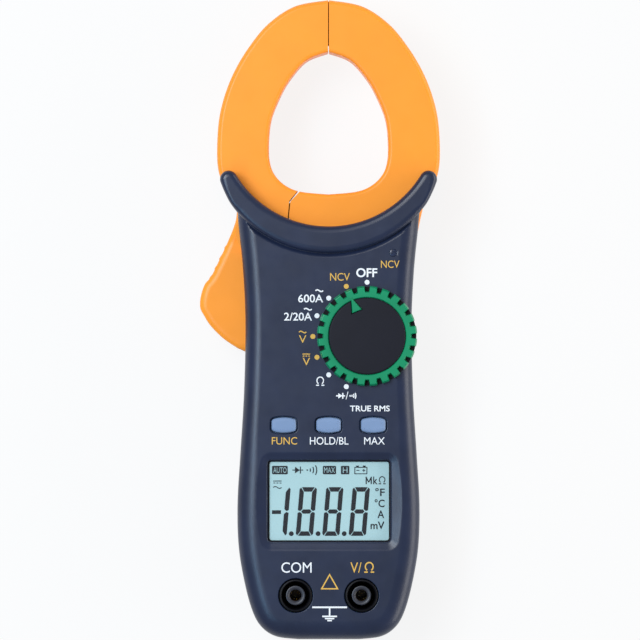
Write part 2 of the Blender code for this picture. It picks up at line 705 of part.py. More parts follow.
def pivot_parts(look):
    low, high = GUARD_REAR_Z[1] + GAP, GUARD_FRONT_Z[0] - GAP
    sleeve = tube("pivot_sleeve", PIVOT, SLEEVE_R, SLEEVE_BORE_R, low, high, 24)
    finish(sleeve, look["steel"])
    spring = coil_spring("jaw_spring", (-17.7, 50.0, PARTING_Z), (-7.3, 50.0, PARTING_Z), 3.2, 0.4, 6)
    finish(spring, look["steel"])


# ---------------------------------------------------------------- dial

def gear_outline():
    """The dial's toothed rim: flat-topped teeth with sloping sides."""
    points = []
    step = 360 / DIAL_TEETH
    for tooth in range(DIAL_TEETH):
        middle = DIAL_REST_DEG + tooth * step
        for offset, radius in ((-TOOTH_ROOT_DEG, DIAL_ROOT_R), (-TOOTH_TIP_DEG, DIAL_TIP_R),
                               (TOOTH_TIP_DEG, DIAL_TIP_R), (TOOTH_ROOT_DEG, DIAL_ROOT_R)):
            angle = radians(middle + offset)
            points.append((DIAL[0] + radius * cos(angle), DIAL[1] + radius * sin(angle)))
    return points


def pointer_outline(grow=0.0):
    """The pointer's triangle, with its tip towards the selected range."""
    along = Vector((cos(radians(DIAL_REST_DEG)), sin(radians(DIAL_REST_DEG))))
    across = Vector((-along.y, along.x))
    centre = Vector(DIAL)
    tip = centre + along * (13.6 + 2.5 * grow)
    base = centre + along * (8.7 - grow)
    half = 1.7 + 1.3 * grow
    return [tuple(tip), tuple(base + across * half), tuple(base - across * half)]


def dial_parts(look):
    dial = prism("range_dial", gear_outline(), *DIAL_Z)
    hub = tube("dial_hub", DIAL, 8.7, 4.4, 29.5, DIAL_Z[0] + 0.8, 24)
    join(dial, hub)
    cut(dial, prism("dial_dish", circle(DIAL, DIAL_CAP_R + GAP, 40), DIAL_CAP_Z[0] - GAP, 40))
    cut(dial, prism("dial_bore", circle(DIAL, 4.4), 20, 32.3))
    join(dial, prism("dial_pointer", pointer_outline(), 32.4, 34.8))
    finish(dial, look["dial"])
    cap_low, cap_high = DIAL_CAP_Z
    profile = [(0, cap_low), (DIAL_CAP_R, cap_low), (DIAL_CAP_R, cap_high - 0.4),
               (DIAL_CAP_R - 0.4, cap_high), (0, cap_high)]
    cap = turned("dial_cap", DIAL, profile, 40)
    cut(cap, prism("cap_notch", pointer_outline(GAP), 30, 40))
    finish(cap, look["cap"])
    rotor_low, rotor_high, stem_high = 26.8, 29.2, 32.0
    profile = [(0, rotor_low), (11.5, rotor_low), (11.5, rotor_high), (4.1, rotor_high),
               (4.1, stem_high), (0, stem_high)]
    rotor = turned("contact_rotor", DIAL, profile, 24)
    finish(rotor, look["white"])
    moving = [dial, cap, rotor]
    for number, turn_deg in (("1", DIAL_REST_DEG), ("2", DIAL_REST_DEG + 180)):
        moving += detent(number, turn_deg, rotor, look)
    lobes = []
    for i in range(36):
        angle = tau * i / 36
        radius = 6.6 + 3.2 * cos(3 * angle)
        lobes.append((DIAL[0] + radius * cos(angle), DIAL[1] + radius * sin(angle)))
    moving.append(finish(prism("rotor_wiper", lobes, 26.1, 26.5), look["brass"]))
    return moving


def detent(number, turn_deg, rotor, look):
    """One sprung ball in a slot of the rotor."""
    along = Vector((cos(radians(turn_deg)), sin(radians(turn_deg)), 0))
    across = Vector((-along.y, along.x, 0))
    ball_r, ball_z = 0.8, 28.3
    centre = Vector((*DIAL, ball_z))
    corners = [centre + along * r + across * s for r, s in ((6.4, -1.2), (13, -1.2), (13, 1.2), (6.4, 1.2))]
    cut(rotor, prism("detent_slot_" + number, [(c.x, c.y) for c in corners], 27.2, 30))
    middle = centre + along * 11.05
    profile = [(0, ball_z - ball_r)]
    for i in range(1, 6):
        angle = pi * i / 6
        profile.append((ball_r * sin(angle), ball_z - ball_r * cos(angle)))
    profile.append((0, ball_z + ball_r))
    ball = turned("detent_ball_" + number, (middle.x, middle.y), profile, 12)
    start, end = centre + along * 6.7, centre + along * 9.9
    spring = coil_spring("detent_spring_" + number, start, end, 0.7, 0.15, 4)
    return [finish(ball, look["steel"]), finish(spring, look["steel"])]


# ---------------------------------------------------------------- buttons and display

def buttons(look):
    """Each button is a key with a flange under the case; below it is a tact switch on the board."""
    made = {}
    for number, (name, x) in enumerate(BUTTONS.items(), 1):
        place = (x, BUTTON_Y)
        flange = rounded_rectangle(place, grown(BUTTON_SIZE, 1.1), 1.8, 0, BUTTON_BOW)
        side = rounded_rectangle(place, BUTTON_SIZE, 1.2, 0, BUTTON_BOW)
        top = rounded_rectangle(place, grown(BUTTON_SIZE, -0.4), 0.9, 0, BUTTON_BOW)
        flange_low, flange_high = FLANGE_Z
        bm = bmesh.new()
        add_stack(bm, [(flange, flange_low), (flange, flange_high), (side, flange_high),
                       (side, BUTTON_TOP_Z - 0.4), (top, BUTTON_TOP_Z)])
        made[name] = finish(new_object(name, bm), look["button"])
        half = 2.2
        switch = box("tact_switch_" + str(number), (x - half, BUTTON_Y - half, 26.1),
                     (x + half, BUTTON_Y + half, 26.9))
        join(switch, prism("tact_plunger_" + str(number), circle(place, 1.1, 16), 26.5, 27.3))
        finish(switch, look["black"])
    return made


def display(look):
    """The window, and under it the panel, its backlight and its contact strip in a frame."""
    window = rounded_rectangle(WINDOW, WINDOW_SIZE, 0.7)
    finish(prism("lcd_window", window, *WINDOW_Z), look["window"])
    (left, right), (low, high) = PANEL_X, PANEL_Y
    under = PANEL_Z[0] - GAP
    finish(box("lcd_panel", (left, low, PANEL_Z[0]), (right, high, PANEL_Z[1])), look["lcd"])
    finish(box("lcd_backlight", (left, low + 3.8, 26.5), (right, high, under)), look["white"])
    strip = box("zebra_strip", (left + 0.8, low + 0.4, 26.1), (right - 0.8, low + 3.0, under))
    finish(strip, look["rubber"])
    frame = prism("lcd_frame", rounded_rectangle(WINDOW, (46.4, 33.4), 1.5), 26.1, 29.2)
    cut(frame, box("lcd_frame_inside", (left - GAP, low - GAP, 20), (right + GAP, high + GAP, 40)))
    finish(frame, look["black"])


def jacks(look):
    """Two shrouded sockets. Each shroud is turned round its post in one closed profile."""
    foot_z, shoulder_z, top_z, post_top_z = 8.0, 26.3, 31.8, 30.6
    profile = [(2.6, foot_z), (4.6, foot_z), (4.6, shoulder_z), (5.3, shoulder_z), (5.3, top_z),
               (4.6, top_z), (4.1, 26.0), (4.1, 15.0), (3.3, 15.0), (3.3, post_top_z), (2.6, post_top_z)]
    for name, place in JACKS.items():
        finish(turned("jack_shroud_" + name, place, profile, 20, closed=True), look["black"])
        finish(tube("jack_socket_" + name, place, 2.3, JACK_BORE_R, 9.0, 30.3, 20), look["brass"])


# ---------------------------------------------------------------- board and cells

def board(look):
    """The main board and what it carries: chip, crystal, buzzer, thermistor and lamp."""
    outline = [(-17.5, -63.0), (17.5, -63.0), (21.5, -57.0), (24.0, -44.0), (24.0, 59.8), (-8.0, 59.8),
               (-8.0, 50.5), (-24.0, 50.5), (-24.0, -44.0), (-21.5, -57.0)]
    plate = prism("main_board", outline, *BOARD_Z)
    holes = [circle(place, 5.0, 16) for place in JACKS.values()]
    holes += [circle(place, 1.1, 8) for place in BOARD_SCREWS.values()]
    cut(plate, prisms("board_holes", holes, 20, 30))
    low_posts = [place for place in SCREW_PLACES.values() if place[1] < 0]
    cut(plate, prisms("board_notches", [circle(place, 3.6, 16) for place in low_posts], 19, 31))
    finish(plate, look["board"])
    under = BOARD_Z[0] - GAP
    finish(box("meter_chip", (-9.0, -17.0, under - 1.4), (1.0, -7.0, under)), look["black"])
    finish(box("crystal", (6.0, -10.0, under - 2.0), (12.0, -7.6, under)), look["steel"])
    finish(rod("buzzer", (13.0, 13.0), 6.0, 17.8, under, 32), look["black"])
    thermistor = rod("ptc_thermistor", (0, 0), 3.4, -1.5, 1.5, 24)
    thermistor.data.transform(Matrix.Rotation(pi / 2, 4, "Y"))
    thermistor.data.transform(Matrix.Translation(Vector((6.0, -40.0, under - 3.6)) * MM))
    finish(thermistor, look["ptc"])
    led = turned("ncv_led", LED, [(0, 26.1), (LED_R, 26.1), (LED_R, 31.2), (0.7, 31.6), (0, 31.7)], 12)
    finish(led, look["led"])


def cells(look):
    """Three cells side by side, the middle one the other way round, with their contacts."""
    plus_end = {1: False, 2: True, 3: False}
    bottom, top = BAY_Y
    for name, y in (("battery_contact_low", bottom + GAP), ("battery_contact_high", top - GAP - 0.4)):
        plate = box(name, (-BAY_X + 0.5, y, 3.4), (BAY_X - 0.5, y + 0.4, 12.8))
        finish(plate, look["steel"])
    first, last = bottom + 2 * GAP + 0.4, top - 2 * GAP - 0.4
    for number, x in enumerate(CELL_X, 1):
        flipped = plus_end[number]
        low = first if flipped else last - CELL_LENGTH
        nub, body = 1.0, CELL_LENGTH - 1.0
        profile = [(0, 0), (CELL_R - 0.5, 0), (CELL_R, 0.4), (CELL_R, body - 0.4), (CELL_R - 0.6, body),
                   (1.9, body), (1.9, body + nub), (0, body + nub)]
        cell = turned("battery_" + str(number), (0, 0), profile, 16)
        cell.data.transform(Matrix.Rotation(pi / 2 if flipped else -pi / 2, 4, "X"))
        start = low + CELL_LENGTH if flipped else low
        cell.data.transform(Matrix.Translation(Vector((x, start, CELL_Z)) * MM))
        finish(cell, look["cell"])
        ends = (low + CELL_LENGTH + GAP, last) if flipped else (first, low - GAP)
        spring = coil_spring("battery_spring_" + str(number), (x, ends[0], CELL_Z), (x, ends[1], CELL_Z),
                             2.8, 0.3, 3)
        finish(spring, look["steel"])


# ---------------------------------------------------------------- assembly

def build():
    for old in list(bpy.data.objects):
        bpy.data.objects.remove(old, do_unlink=True)
    look = looks()
    front_case(look)
    rear_case(look)
    battery_cover(look)
    fasteners(look)
    swing = joint_empty("jaw_axis", *PIVOT, PARTING_Z)
    for piece in jaws(look):
        hang(piece, swing)
    pivot_parts(look)
    turn = joint_empty("dial_axis", *DIAL, FRONT_Z)
    for piece in dial_parts(look):
        hang(piece, turn)
    for name, button in buttons(look).items():
        hang(button, joint_empty(name + "_axis", BUTTONS[name], BUTTON_Y, FRONT_Z))
    display(look)
    jacks(look)
    board(look)
    cells(look)


build()
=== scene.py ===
"""Clamp meter: the finished meshes, materials, light and camera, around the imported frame.

Sizes are in millimetres until a mesh is made, which is in metres. +X is right, +Y points to the jaws
and +Z comes out of the display face.
"""

import json
from math import atan2, cos, degrees, hypot, pi, radians, sin, tau

import bmesh
import bpy
from mathutils import Matrix, Vector


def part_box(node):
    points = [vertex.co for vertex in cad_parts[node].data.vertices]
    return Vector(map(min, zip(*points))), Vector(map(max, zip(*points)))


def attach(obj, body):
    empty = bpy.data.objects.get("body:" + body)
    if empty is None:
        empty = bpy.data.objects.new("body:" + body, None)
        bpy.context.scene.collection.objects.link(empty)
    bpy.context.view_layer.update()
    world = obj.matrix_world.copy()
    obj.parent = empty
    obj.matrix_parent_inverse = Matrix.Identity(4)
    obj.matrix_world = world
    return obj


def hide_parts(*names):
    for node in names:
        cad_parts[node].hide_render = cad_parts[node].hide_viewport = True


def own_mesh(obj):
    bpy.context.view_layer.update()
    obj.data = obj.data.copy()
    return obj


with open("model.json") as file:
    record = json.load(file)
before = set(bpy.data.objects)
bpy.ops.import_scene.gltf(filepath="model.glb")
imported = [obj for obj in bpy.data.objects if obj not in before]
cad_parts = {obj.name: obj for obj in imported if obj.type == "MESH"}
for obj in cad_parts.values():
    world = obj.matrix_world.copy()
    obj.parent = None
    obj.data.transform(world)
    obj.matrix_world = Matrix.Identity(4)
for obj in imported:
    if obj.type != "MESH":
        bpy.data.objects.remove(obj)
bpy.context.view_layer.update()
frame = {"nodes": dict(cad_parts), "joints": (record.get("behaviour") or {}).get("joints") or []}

MM = 0.001


def node_box(node):
    low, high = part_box(node)
    return [c / MM for c in low], [c / MM for c in high]


def node_centre(node):
    low, high = node_box(node)
    return (low[0] + high[0]) / 2, (low[1] + high[1]) / 2


# ---------------------------------------------------------------- sizes

JOINTS = {joint["name"]: joint for joint in frame["joints"]}
PIVOT = tuple(c / MM for c in JOINTS["jaw_open"]["pos_m"][:2])
PARTING_Z = JOINTS["jaw_open"]["pos_m"][2] / MM
FRONT_Z = JOINTS["dial_turn"]["pos_m"][2] / MM
CASE_TOP_Z = node_box("front_case")[1][2]
BACK_Z = 0.0
BOARD_Z = 24.2
ABOVE_Z = 40.0
BEYOND = 150
CASE_WALL = 2.0
TOP_EDGE_CUT = 2.2
LEVER_ROOM = ((-50.0, 24.6), (-20.0, 64.0))
SCREW_HOLE_R = 1.6
SCREW_POST_R = 3.2
SCREW_WELL_R = 3.1
COVER_SHANK_R = 1.5
COVER_HEAD_R = 3.0
BOARD_POST_R = 2.1
BOARD_POST_Z = 26.4
JACK_HOLE_R = 5.55
LED_HOLE_R = 1.26
DIAL_HOLE_R = 9.0
DIAL_COLLAR_R = 13.9
DETENT_R = 12.4
DETENT_DEPTH = 0.25
BUTTON_FLANGE_Z = (28.5, 29.1)
CAVITY_TOP_Y = 61.0
PARTING_GAP = 0.3
FACE_EASE = 5.0
REAR_EASE = 4.0
CASE_SIDE = (
    (-68.0, 10.0), (-67.1, 17.0), (-64.2, 21.6), (-59.2, 24.6), (-50.0, 27.2), (-38.0, 29.2),
    (-24.0, 29.6), (-8.0, 28.7), (12.0, 27.5), (34.0, 27.0), (52.0, 27.8), (66.0, 29.2), (73.0, 29.7),
)

GUARD_TOP_CENTRE = (0.0, 101.4)
GUARD_TOP_R = 35.2
GUARD_LOW_CENTRE = (0.0, 97.2)
GUARD_LOW_R = 39.7
HORN = (32.4, 81.5)
HORN_FLANK = ((32.0, 73.9), (34.0, 77.9))
GUARD_FRONT_Z = (25.3, CASE_TOP_Z)
GUARD_REAR_Z = (BACK_Z, 6.7)

JAW_LOW, JAW_HIGH = node_box("fixed_jaw_back")[0][2], node_box("fixed_jaw_front")[1][2]
JAW_BASE_Y = 60.7
LEVER_HALF = 7.0
JAW_HALF = (JAW_HIGH - JAW_LOW) / 2
HUB_R = 9.0
HUB_ROOM_R = HUB_R + 1.8
SEAM = 0.15
SPLIT_LAP = 0.6
RING_OUTER = (
    (0.0, 140.0), (10.9, 138.0), (19.7, 132.2), (26.2, 124.3), (30.8, 116.5), (33.9, 108.7),
    (35.7, 100.9), (36.3, 92.0), (36.0, 85.3), (34.6, 80.5), (31.6, 74.6), (30.3, 70.2), (29.1, 64.5),
)
RING_HOLE = (
    (0.0, 123.1), (7.0, 120.4), (12.3, 114.6), (15.7, 108.7), (18.7, 100.9), (19.5, 92.0),
    (18.9, 86.2), (16.9, 82.2), (13.4, 79.2), (8.6, 77.5), (0.0, 76.7),
)
LEVER_EDGE = (
    (-29.8, 71.5), (-30.4, 67.5), (-32.6, 61.8), (-35.3, 56.0), (-38.2, 50.1), (-40.4, 47.3),
    (-41.7, 43.2), (-41.8, 39.7), (-40.5, 37.1), (-38.9, 34.5), (-36.6, 31.9), (-33.7, 29.3),
    (-29.8, 26.7),
)
LEVER_INSIDE = (
    (-27.0, 25.4), (-24.4, 26.3), (-23.6, 28.5), (-21.6, 36.5), (-19.4, 46.0), (-17.2, 54.0),
)
LEVER_RIDGES = ((-33.6, 59.6), (-35.2, 56.2), (-36.8, 53.0), (-38.4, 49.8))
THINNING_Y = (60.4, 68.0)
THINNING_STEPS = 10
SPLIT_LINE = ((-13.3, 69.0), (-12.8, 74.6), (-10.1, 77.8))
CORE_ARC = ((28.0, 93.0), (26.6, 104.0), (22.6, 115.5), (15.3, 125.0), (6.5, 130.5), (0.5, 131.5))
FIXED_CORE_LINE = (
    (-11.2, 71.3), (-5.0, 69.8), (5.0, 69.0), (15.0, 71.2), (23.0, 76.5), (27.4, 84.5), *CORE_ARC,
)
MOVING_CORE_LINE = (
    *[(-x, y) for x, y in reversed(CORE_ARC)],
    (-27.0, 84.0), (-23.6, 77.8), (-19.0, 74.0), (-13.8, 72.2),
)
CHANNEL_WIDTH = 12.6
CHANNEL_HALF = 7.0
CORE_SLOT_WIDTH = 8.8
CORE_SLOT_HALF = 5.3

DIAL = node_centre("dial_cap")
DIAL_TEETH = 24
DIAL_CAP_R = 12.4
DIAL_LOW_Z = 31.8
DIAL_TOP_Z = 34.3
# The black disc under the dial's teeth is painted shade for the gaps between them.
SHADE_DISC_R = 16.0
SHADE_DISC_TOP_Z = 32.2
DIAL_REST_DEG = 112.5
RANGE_STEP_DEG = 22.5
MARK_CIRCLE_R = 17.6
MARK_DROP = 0.15
MARK_DOT_R = 0.8

WINDOW_LOW, WINDOW_HIGH = node_box("lcd_window")
WINDOW = node_centre("lcd_window")
WINDOW_SIZE = (WINDOW_HIGH[0] - WINDOW_LOW[0], WINDOW_HIGH[1] - WINDOW_LOW[1])
VIEW_MARGIN = 0.3
BUTTON_BODIES = {"button_func": "func_button", "button_hold": "hold_button", "button_max": "max_button"}
BUTTONS = {name: node_centre(name) for name in BUTTON_BODIES}
BUTTON_SIZE = (8.0, 3.6)
BUTTON_BOW = 0.7
BUTTON_CORNER = 0.75
BUTTON_TOP_Z = node_box("button_hold")[1][2]
JACKS = {name: node_centre("jack_shroud_" + name) for name in ("com", "vohm")}
LED = node_centre("ncv_led")
CASE_SCREWS = ("case_screw_1", "case_screw_2", "case_screw_3", "case_screw_4")
BOARD_SCREWS = ("board_screw_1", "board_screw_2", "board_screw_3")
COVER_LOW, COVER_HIGH = node_box("battery_cover")
COVER_CENTRE = node_centre("battery_cover")
COVER_SIZE = (COVER_HIGH[0] - COVER_LOW[0], COVER_HIGH[1] - COVER_LOW[1])
COVER_SCREW = node_centre("battery_cover_screw")

PRINT_Z = FRONT_Z + 0.02
PRINT_THICKNESS = 0.03


# ---------------------------------------------------------------- outlines

def smooth_curve(points, steps):
    """A Catmull-Rom curve through the points, ends included."""
    padded = [points[0], *points, points[-1]]
    curve = []
    for a, b, c, d in zip(padded, padded[1:], padded[2:], padded[3:]):
        for i in range(steps):
            t = i / steps
            curve.append(tuple(
                0.5 * (2 * q + (r - p) * t + (2 * p - 5 * q + 4 * r - s) * t * t
                       + (3 * q - p - 3 * r + s) * t ** 3)
                for p, q, r, s in zip(a, b, c, d)
            ))
    return curve + [tuple(points[-1])]


def polar(centre, radius, angle):
    return centre[0] + radius * cos(angle), centre[1] + radius * sin(angle)


def arc(centre, radius, start_deg, end_deg, count):
    span = end_deg - start_deg
    return [polar(centre, radius, radians(start_deg + span * i / (count - 1))) for i in range(count)]


def quarter(steps, first=0):
    """The cosine and sine at even steps of a quarter turn."""
    return [(cos(pi / 2 * i / steps), sin(pi / 2 * i / steps)) for i in range(first, steps + 1)]


def circle(centre, radius, count=48):
    return arc(centre, radius, 0, 360, count + 1)[:-1]


def between(a, b, count):
    """Evenly spaced points between two points, which are left out."""
    return [(a[0] + (b[0] - a[0]) * i / (count + 1), a[1] + (b[1] - a[1]) * i / (count + 1))
            for i in range(1, count + 1)]


def swell(bow, offset, place):
    return bow * (1 - 4 * place * place) * (1 if offset > 0 else -1)


def bowed_rectangle(centre, size, radius, bow_x=0.0, bow_y=0.0, corner=6, side=9):
    """A rectangle with round corners, whose sides swell by bow_x and whose ends swell by bow_y."""
    half_x, half_y = size[0] / 2 - radius, size[1] / 2 - radius
    points = []
    for quarter, (sx, sy) in enumerate(((1, 1), (-1, 1), (-1, -1), (1, -1))):
        turn = arc((sx * half_x, sy * half_y), radius, 90 * quarter, 90 * quarter + 90, corner)
        if points:
            points += between(points[-1], turn[0], side)
        points += turn
    points += between(points[-1], points[0], side)
    return [(centre[0] + x + swell(bow_x, x, y / size[1]), centre[1] + y + swell(bow_y, y, x / size[0]))
            for x, y in points]


def grown(size, by):
    return size[0] + by, size[1] + by


def mirrored(points):
    return [(-x, y) for x, y in reversed(points)]


def eased(outline, amount, share=1.0):
    """The outline moved inwards at each point by a share of one amount, or of amount(x, y)."""
    corners = list(zip(outline[-1:] + outline[:-1], outline, outline[1:] + outline[:1]))
    turn = 1 if sum(x * y1 - x1 * y for _, (x, y), (x1, y1) in corners) > 0 else -1
    moved = []
    for (x0, y0), (x, y), (x1, y1) in corners:
        a, b = Vector((x - x0, y - y0)).normalized(), Vector((x1 - x, y1 - y)).normalized()
        along = (a + b).normalized() if (a + b).length > 1e-6 else b
        normal = Vector((-along.y, along.x)) * turn
        spread = max(abs(normal.dot(Vector((-b.y, b.x)))), 0.6)
        step = (amount(x, y) if callable(amount) else amount) * share
        moved.append((x + normal.x * step / spread, y + normal.y * step / spread))
    return moved


def eased_layers(outline, *steps):
    """Layers of the outline, given as (how far it is moved inwards, z)."""
    return [(eased(outline, inward), z) for inward, z in steps]


def shortened(line, length):
    """The line without its first and last stretches of the given length."""
    def far(point, end):
        return hypot(point[0] - end[0], point[1] - end[1]) > length
    return [point for point in line if far(point, line[0]) and far(point, line[-1])]


def stroke(line, width, extend=0.0):
    """The outline of a strip along a line, longer at both ends by extend."""
    left, right = [], []
    for i, (x, y) in enumerate(line):
        before, after = line[max(i - 1, 0)], line[min(i + 1, len(line) - 1)]
        along = Vector((after[0] - before[0], after[1] - before[1])).normalized()
        reach = extend * ((i == len(line) - 1) - (i == 0))
        x, y = x + along.x * reach, y + along.y * reach
        left.append((x - along.y * width / 2, y + along.x * width / 2))
        right.append((x + along.y * width / 2, y - along.x * width / 2))
    return left + right[::-1]


def smoothstep(value, low, high):
    t = min(max((value - low) / (high - low), 0.0), 1.0)
    return t * t * (3 - 2 * t)


def case_outline():
    right = [(half, y) for y, half in smooth_curve(CASE_SIDE, 8)]
    left = [(-x, y) for x, y in right]
    foot = between(left[0], right[0], 9)
    return foot + right + left[::-1]


def crescent(clearance=0.0):
    """The guard's outline: two arcs that end in round horns."""
    top_r = GUARD_TOP_R + clearance
    reach = hypot(HORN[0] - GUARD_TOP_CENTRE[0], HORN[1] - GUARD_TOP_CENTRE[1])
    horn_r = reach - top_r
    horn_deg = degrees(atan2(HORN[1] - GUARD_TOP_CENTRE[1], HORN[0] - GUARD_TOP_CENTRE[0]))
    right_horn = arc(HORN, horn_r, -15, horn_deg + 180, 14)
    lower = arc(GUARD_LOW_CENTRE, GUARD_LOW_R - clearance, -138, -42, 57)
    flank = [(x - 0.8 * clearance, y) for x, y in HORN_FLANK]
    rise = smooth_curve([lower[-1], *flank, right_horn[0]], 5)[1:-1]
    upper = arc(GUARD_TOP_CENTRE, top_r, horn_deg, -180 - horn_deg, 67)[1:-1]
    return lower + rise + right_horn + upper + mirrored(right_horn) + mirrored(rise)


# ---------------------------------------------------------------- meshes

def add_object(name, data):
    obj = bpy.data.objects.new(name, data)
    bpy.context.scene.collection.objects.link(obj)
    return obj


def new_object(name, bm, smooth_deg=35):
    """Makes an object from a bmesh in millimetres."""
    bmesh.ops.scale(bm, vec=(MM, MM, MM), verts=bm.verts)
    bmesh.ops.recalc_face_normals(bm, faces=bm.faces)
    mesh = bpy.data.meshes.new(name)
    bm.to_mesh(mesh)
    bm.free()
    mesh.shade_smooth()
    mesh.set_sharp_from_angle(angle=radians(smooth_deg))
    return add_object(name, mesh)


def bridge(bm, rings, closed=False):
    """Faces from each ring to the next. A ring of one vertex is a pole."""
    for low, high in zip(rings, rings[1:] + rings[:1] if closed else rings[1:]):
        count = max(len(low), len(high))
        for i in range(count):
            j = (i + 1) % count
            corners = (low[i % len(low)], low[j % len(low)], high[j % len(high)], high[i % len(high)])
            bm.faces.new(list(dict.fromkeys(corners)))


def add_stack(bm, layers):
    """A solid through outlines of one length, each with its height, closed by flat caps."""
    rings = [[bm.verts.new((x, y, z)) for x, y in outline] for outline, z in layers]
    bridge(bm, rings)
    bm.faces.new(rings[0][::-1])
    bm.faces.new(rings[-1])


def stacks(all_layers, name="tool"):
    """Several stacks that don't touch, in one mesh."""
    bm = bmesh.new()
    for layers in all_layers:
        add_stack(bm, layers)
    return new_object(name, bm)


def stack(layers, name="tool"):
    return stacks([layers], name)


def prisms(outlines, z_low, z_high, name="tool"):
    return stacks([[(outline, z_low), (outline, z_high)] for outline in outlines], name)


def prism(outline, z_low, z_high, name="tool"):
    return prisms([outline], z_low, z_high, name)


def box(low, high):
    outline = [(low[0], low[1]), (high[0], low[1]), (high[0], high[1]), (low[0], high[1])]
    return prism(outline, low[2], high[2])


def turned(centre, profile, count=64, closed=False, name="tool"):
    """A solid of revolution about a vertical axis. The profile is (radius, z), and starts and ends
    on the axis unless it is closed into a ring."""
    bm = bmesh.new()
    rings = []
    for radius, z in profile:
        places = circle(centre, radius, count) if radius else [centre]
        rings.append([bm.verts.new((x, y, z)) for x, y in places])
    bridge(bm, rings, closed)
    return new_object(name, bm)


def round_layers(outline, z_flat, z_face, ease, drop):
    """Layers that round an edge over, from z_flat's side to the face."""
    up = 1 if z_face > z_flat else -1
    return [(eased(outline, ease, 1 - c), z_face - up * drop * (1 - s)) for c, s in quarter(8)]


def flared_hole(outline, z_low, flare):
    """A cutter whose mouth opens out where it meets the front face."""
    mouth = [(eased(outline, -flare * (1 - c)), FRONT_Z + 0.01 - flare * (1 - s))
             for c, s in quarter(4, 1)]
    return [(outline, z_low), (outline, FRONT_Z - flare), *mouth, (mouth[-1][0], ABOVE_Z)]


def combine(target, tool, operation):
    modifier = target.modifiers.new(tool.name, "BOOLEAN")
    modifier.operation = operation
    modifier.solver = "EXACT"
    modifier.object = tool


def cut(target, *tools):
    for tool in tools:
        combine(target, tool, "DIFFERENCE")


def join(target, *tools):
    for tool in tools:
        combine(target, tool, "UNION")


def settle(obj, smooth_deg=35):
    """Applies the modifiers, removes the tools and sets the shading of the final mesh."""
    depsgraph = bpy.context.evaluated_depsgraph_get()
    mesh = bpy.data.meshes.new_from_object(obj.evaluated_get(depsgraph))
    tools = [modifier.object for modifier in obj.modifiers if modifier.type == "BOOLEAN"]
    obj.modifiers.clear()
    obj.data = mesh
    mesh.name = obj.name
    mesh.shade_smooth()
    mesh.set_sharp_from_angle(angle=radians(smooth_deg))
    weighted = obj.modifiers.new("weighted_normal", "WEIGHTED_NORMAL")
    weighted.keep_sharp = True
    weighted.weight = 80
    for tool in tools:
        bpy.data.objects.remove(tool, do_unlink=True)
    return obj


def finish(obj, look, body, slot, *replaced):
    """Gives a piece its material and its body, and hides the nodes that it stands for. The slot is not
    used.
    """
    obj.data.materials.clear()
    obj.data.materials.append(look)
    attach(obj, body)
    if replaced:
        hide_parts(*replaced)
    return obj


# ---------------------------------------------------------------- materials

def set_shader(made, **inputs):
    for name, value in inputs.items():
        made.node_tree.nodes["Principled BSDF"].inputs[name.replace("_", " ")].default_value = value


def new_material(name, colour, roughness, metallic=0.0, specular=0.5):
    made = bpy.data.materials.new(name)
    made.use_nodes = True
    set_shader(made, Base_Color=(*colour, 1.0), Roughness=roughness, Metallic=metallic,
               Specular_IOR_Level=specular)
    return made


def add_node(made, kind, links=(), **inputs):
    node = made.node_tree.nodes.new(kind)
    for name, value in inputs.items():
        node.inputs[name.replace("_", " ")].default_value = value
    for name, source in links:
        made.node_tree.links.new(source, node.inputs[name])
    return node


def object_place(made):
    return [("Vector", add_node(made, "ShaderNodeTexCoord").outputs["Object"])]


def noise(made, scale, detail=3.0, stretch=(1.0, 1.0, 1.0)):
    """Noise in the piece's own metres."""
    mapping = add_node(made, "ShaderNodeMapping", object_place(made), Scale=stretch)
    return add_node(made, "ShaderNodeTexNoise", [("Vector", mapping.outputs["Vector"])],
                    Scale=scale, Detail=detail, Roughness=0.55).outputs["Fac"]


def link_to_shader(made, socket, output):
    shader = made.node_tree.nodes["Principled BSDF"]
    made.node_tree.links.new(output, shader.inputs[socket])


def vary_colour(made, fac, dark, light, low=0.35, high=0.65):
    ramp = add_node(made, "ShaderNodeValToRGB", [("Fac", fac)])
    for element, position, colour in zip(ramp.color_ramp.elements, (low, high), (dark, light)):
        element.position = position
        element.color = (*colour, 1.0)
    link_to_shader(made, "Base Color", ramp.outputs["Color"])


def vary_roughness(made, fac, low, high):
    spread = add_node(made, "ShaderNodeMapRange", [("Value", fac)], To_Min=low, To_Max=high)
    link_to_shader(made, "Roughness", spread.outputs["Result"])


def add_bump(made, fac, strength, distance_mm):
    bump = add_node(made, "ShaderNodeBump", [("Height", fac)], Strength=strength,
                    Distance=distance_mm * MM)
    link_to_shader(made, "Normal", bump.outputs["Normal"])


def shade(colour, factor):
    return tuple(c * factor for c in colour)


def varied(name, colour, roughness, cloud, shares, gloss, grain=None, **options):
    """A material whose colour and gloss drift. cloud is the colour noise's scale and detail, and
    shares are its darkest and lightest. gloss is a noise's scale and detail and the roughness at
    its ends. grain is a noise's scale and detail and the bump's strength and depth."""
    made = new_material(name, colour, roughness, **options)
    vary_colour(made, noise(made, *cloud), shade(colour, shares[0]), shade(colour, shares[1]))
    vary_roughness(made, noise(made, *gloss[:2]), *gloss[2:])
    if grain:
        add_bump(made, noise(made, *grain[:2]), *grain[2:])
    return made


def moulded_plastic(name, colour, roughness, grain_scale, grain, mottle, specular):
    """Moulded plastic: a fine spark-eroded grain, slow changes of colour and gloss."""
    return varied(name, colour, roughness, (90.0, 2.0), (1 - mottle, 1 + mottle),
                  (260.0, 2.0, roughness - 0.05, roughness + 0.06), (grain_scale, 2.0, grain, 0.08),
                  specular=specular)


def ink(name, colour):
    """Screen-printed ink: slightly uneven in cover and gloss."""
    return varied(name, colour, 0.45, (1400.0, 2.0), (0.93, 1.0), (700.0, 3.0, 0.38, 0.52),
                  (2400.0, 3.0, 0.1, 0.02), specular=0.3)


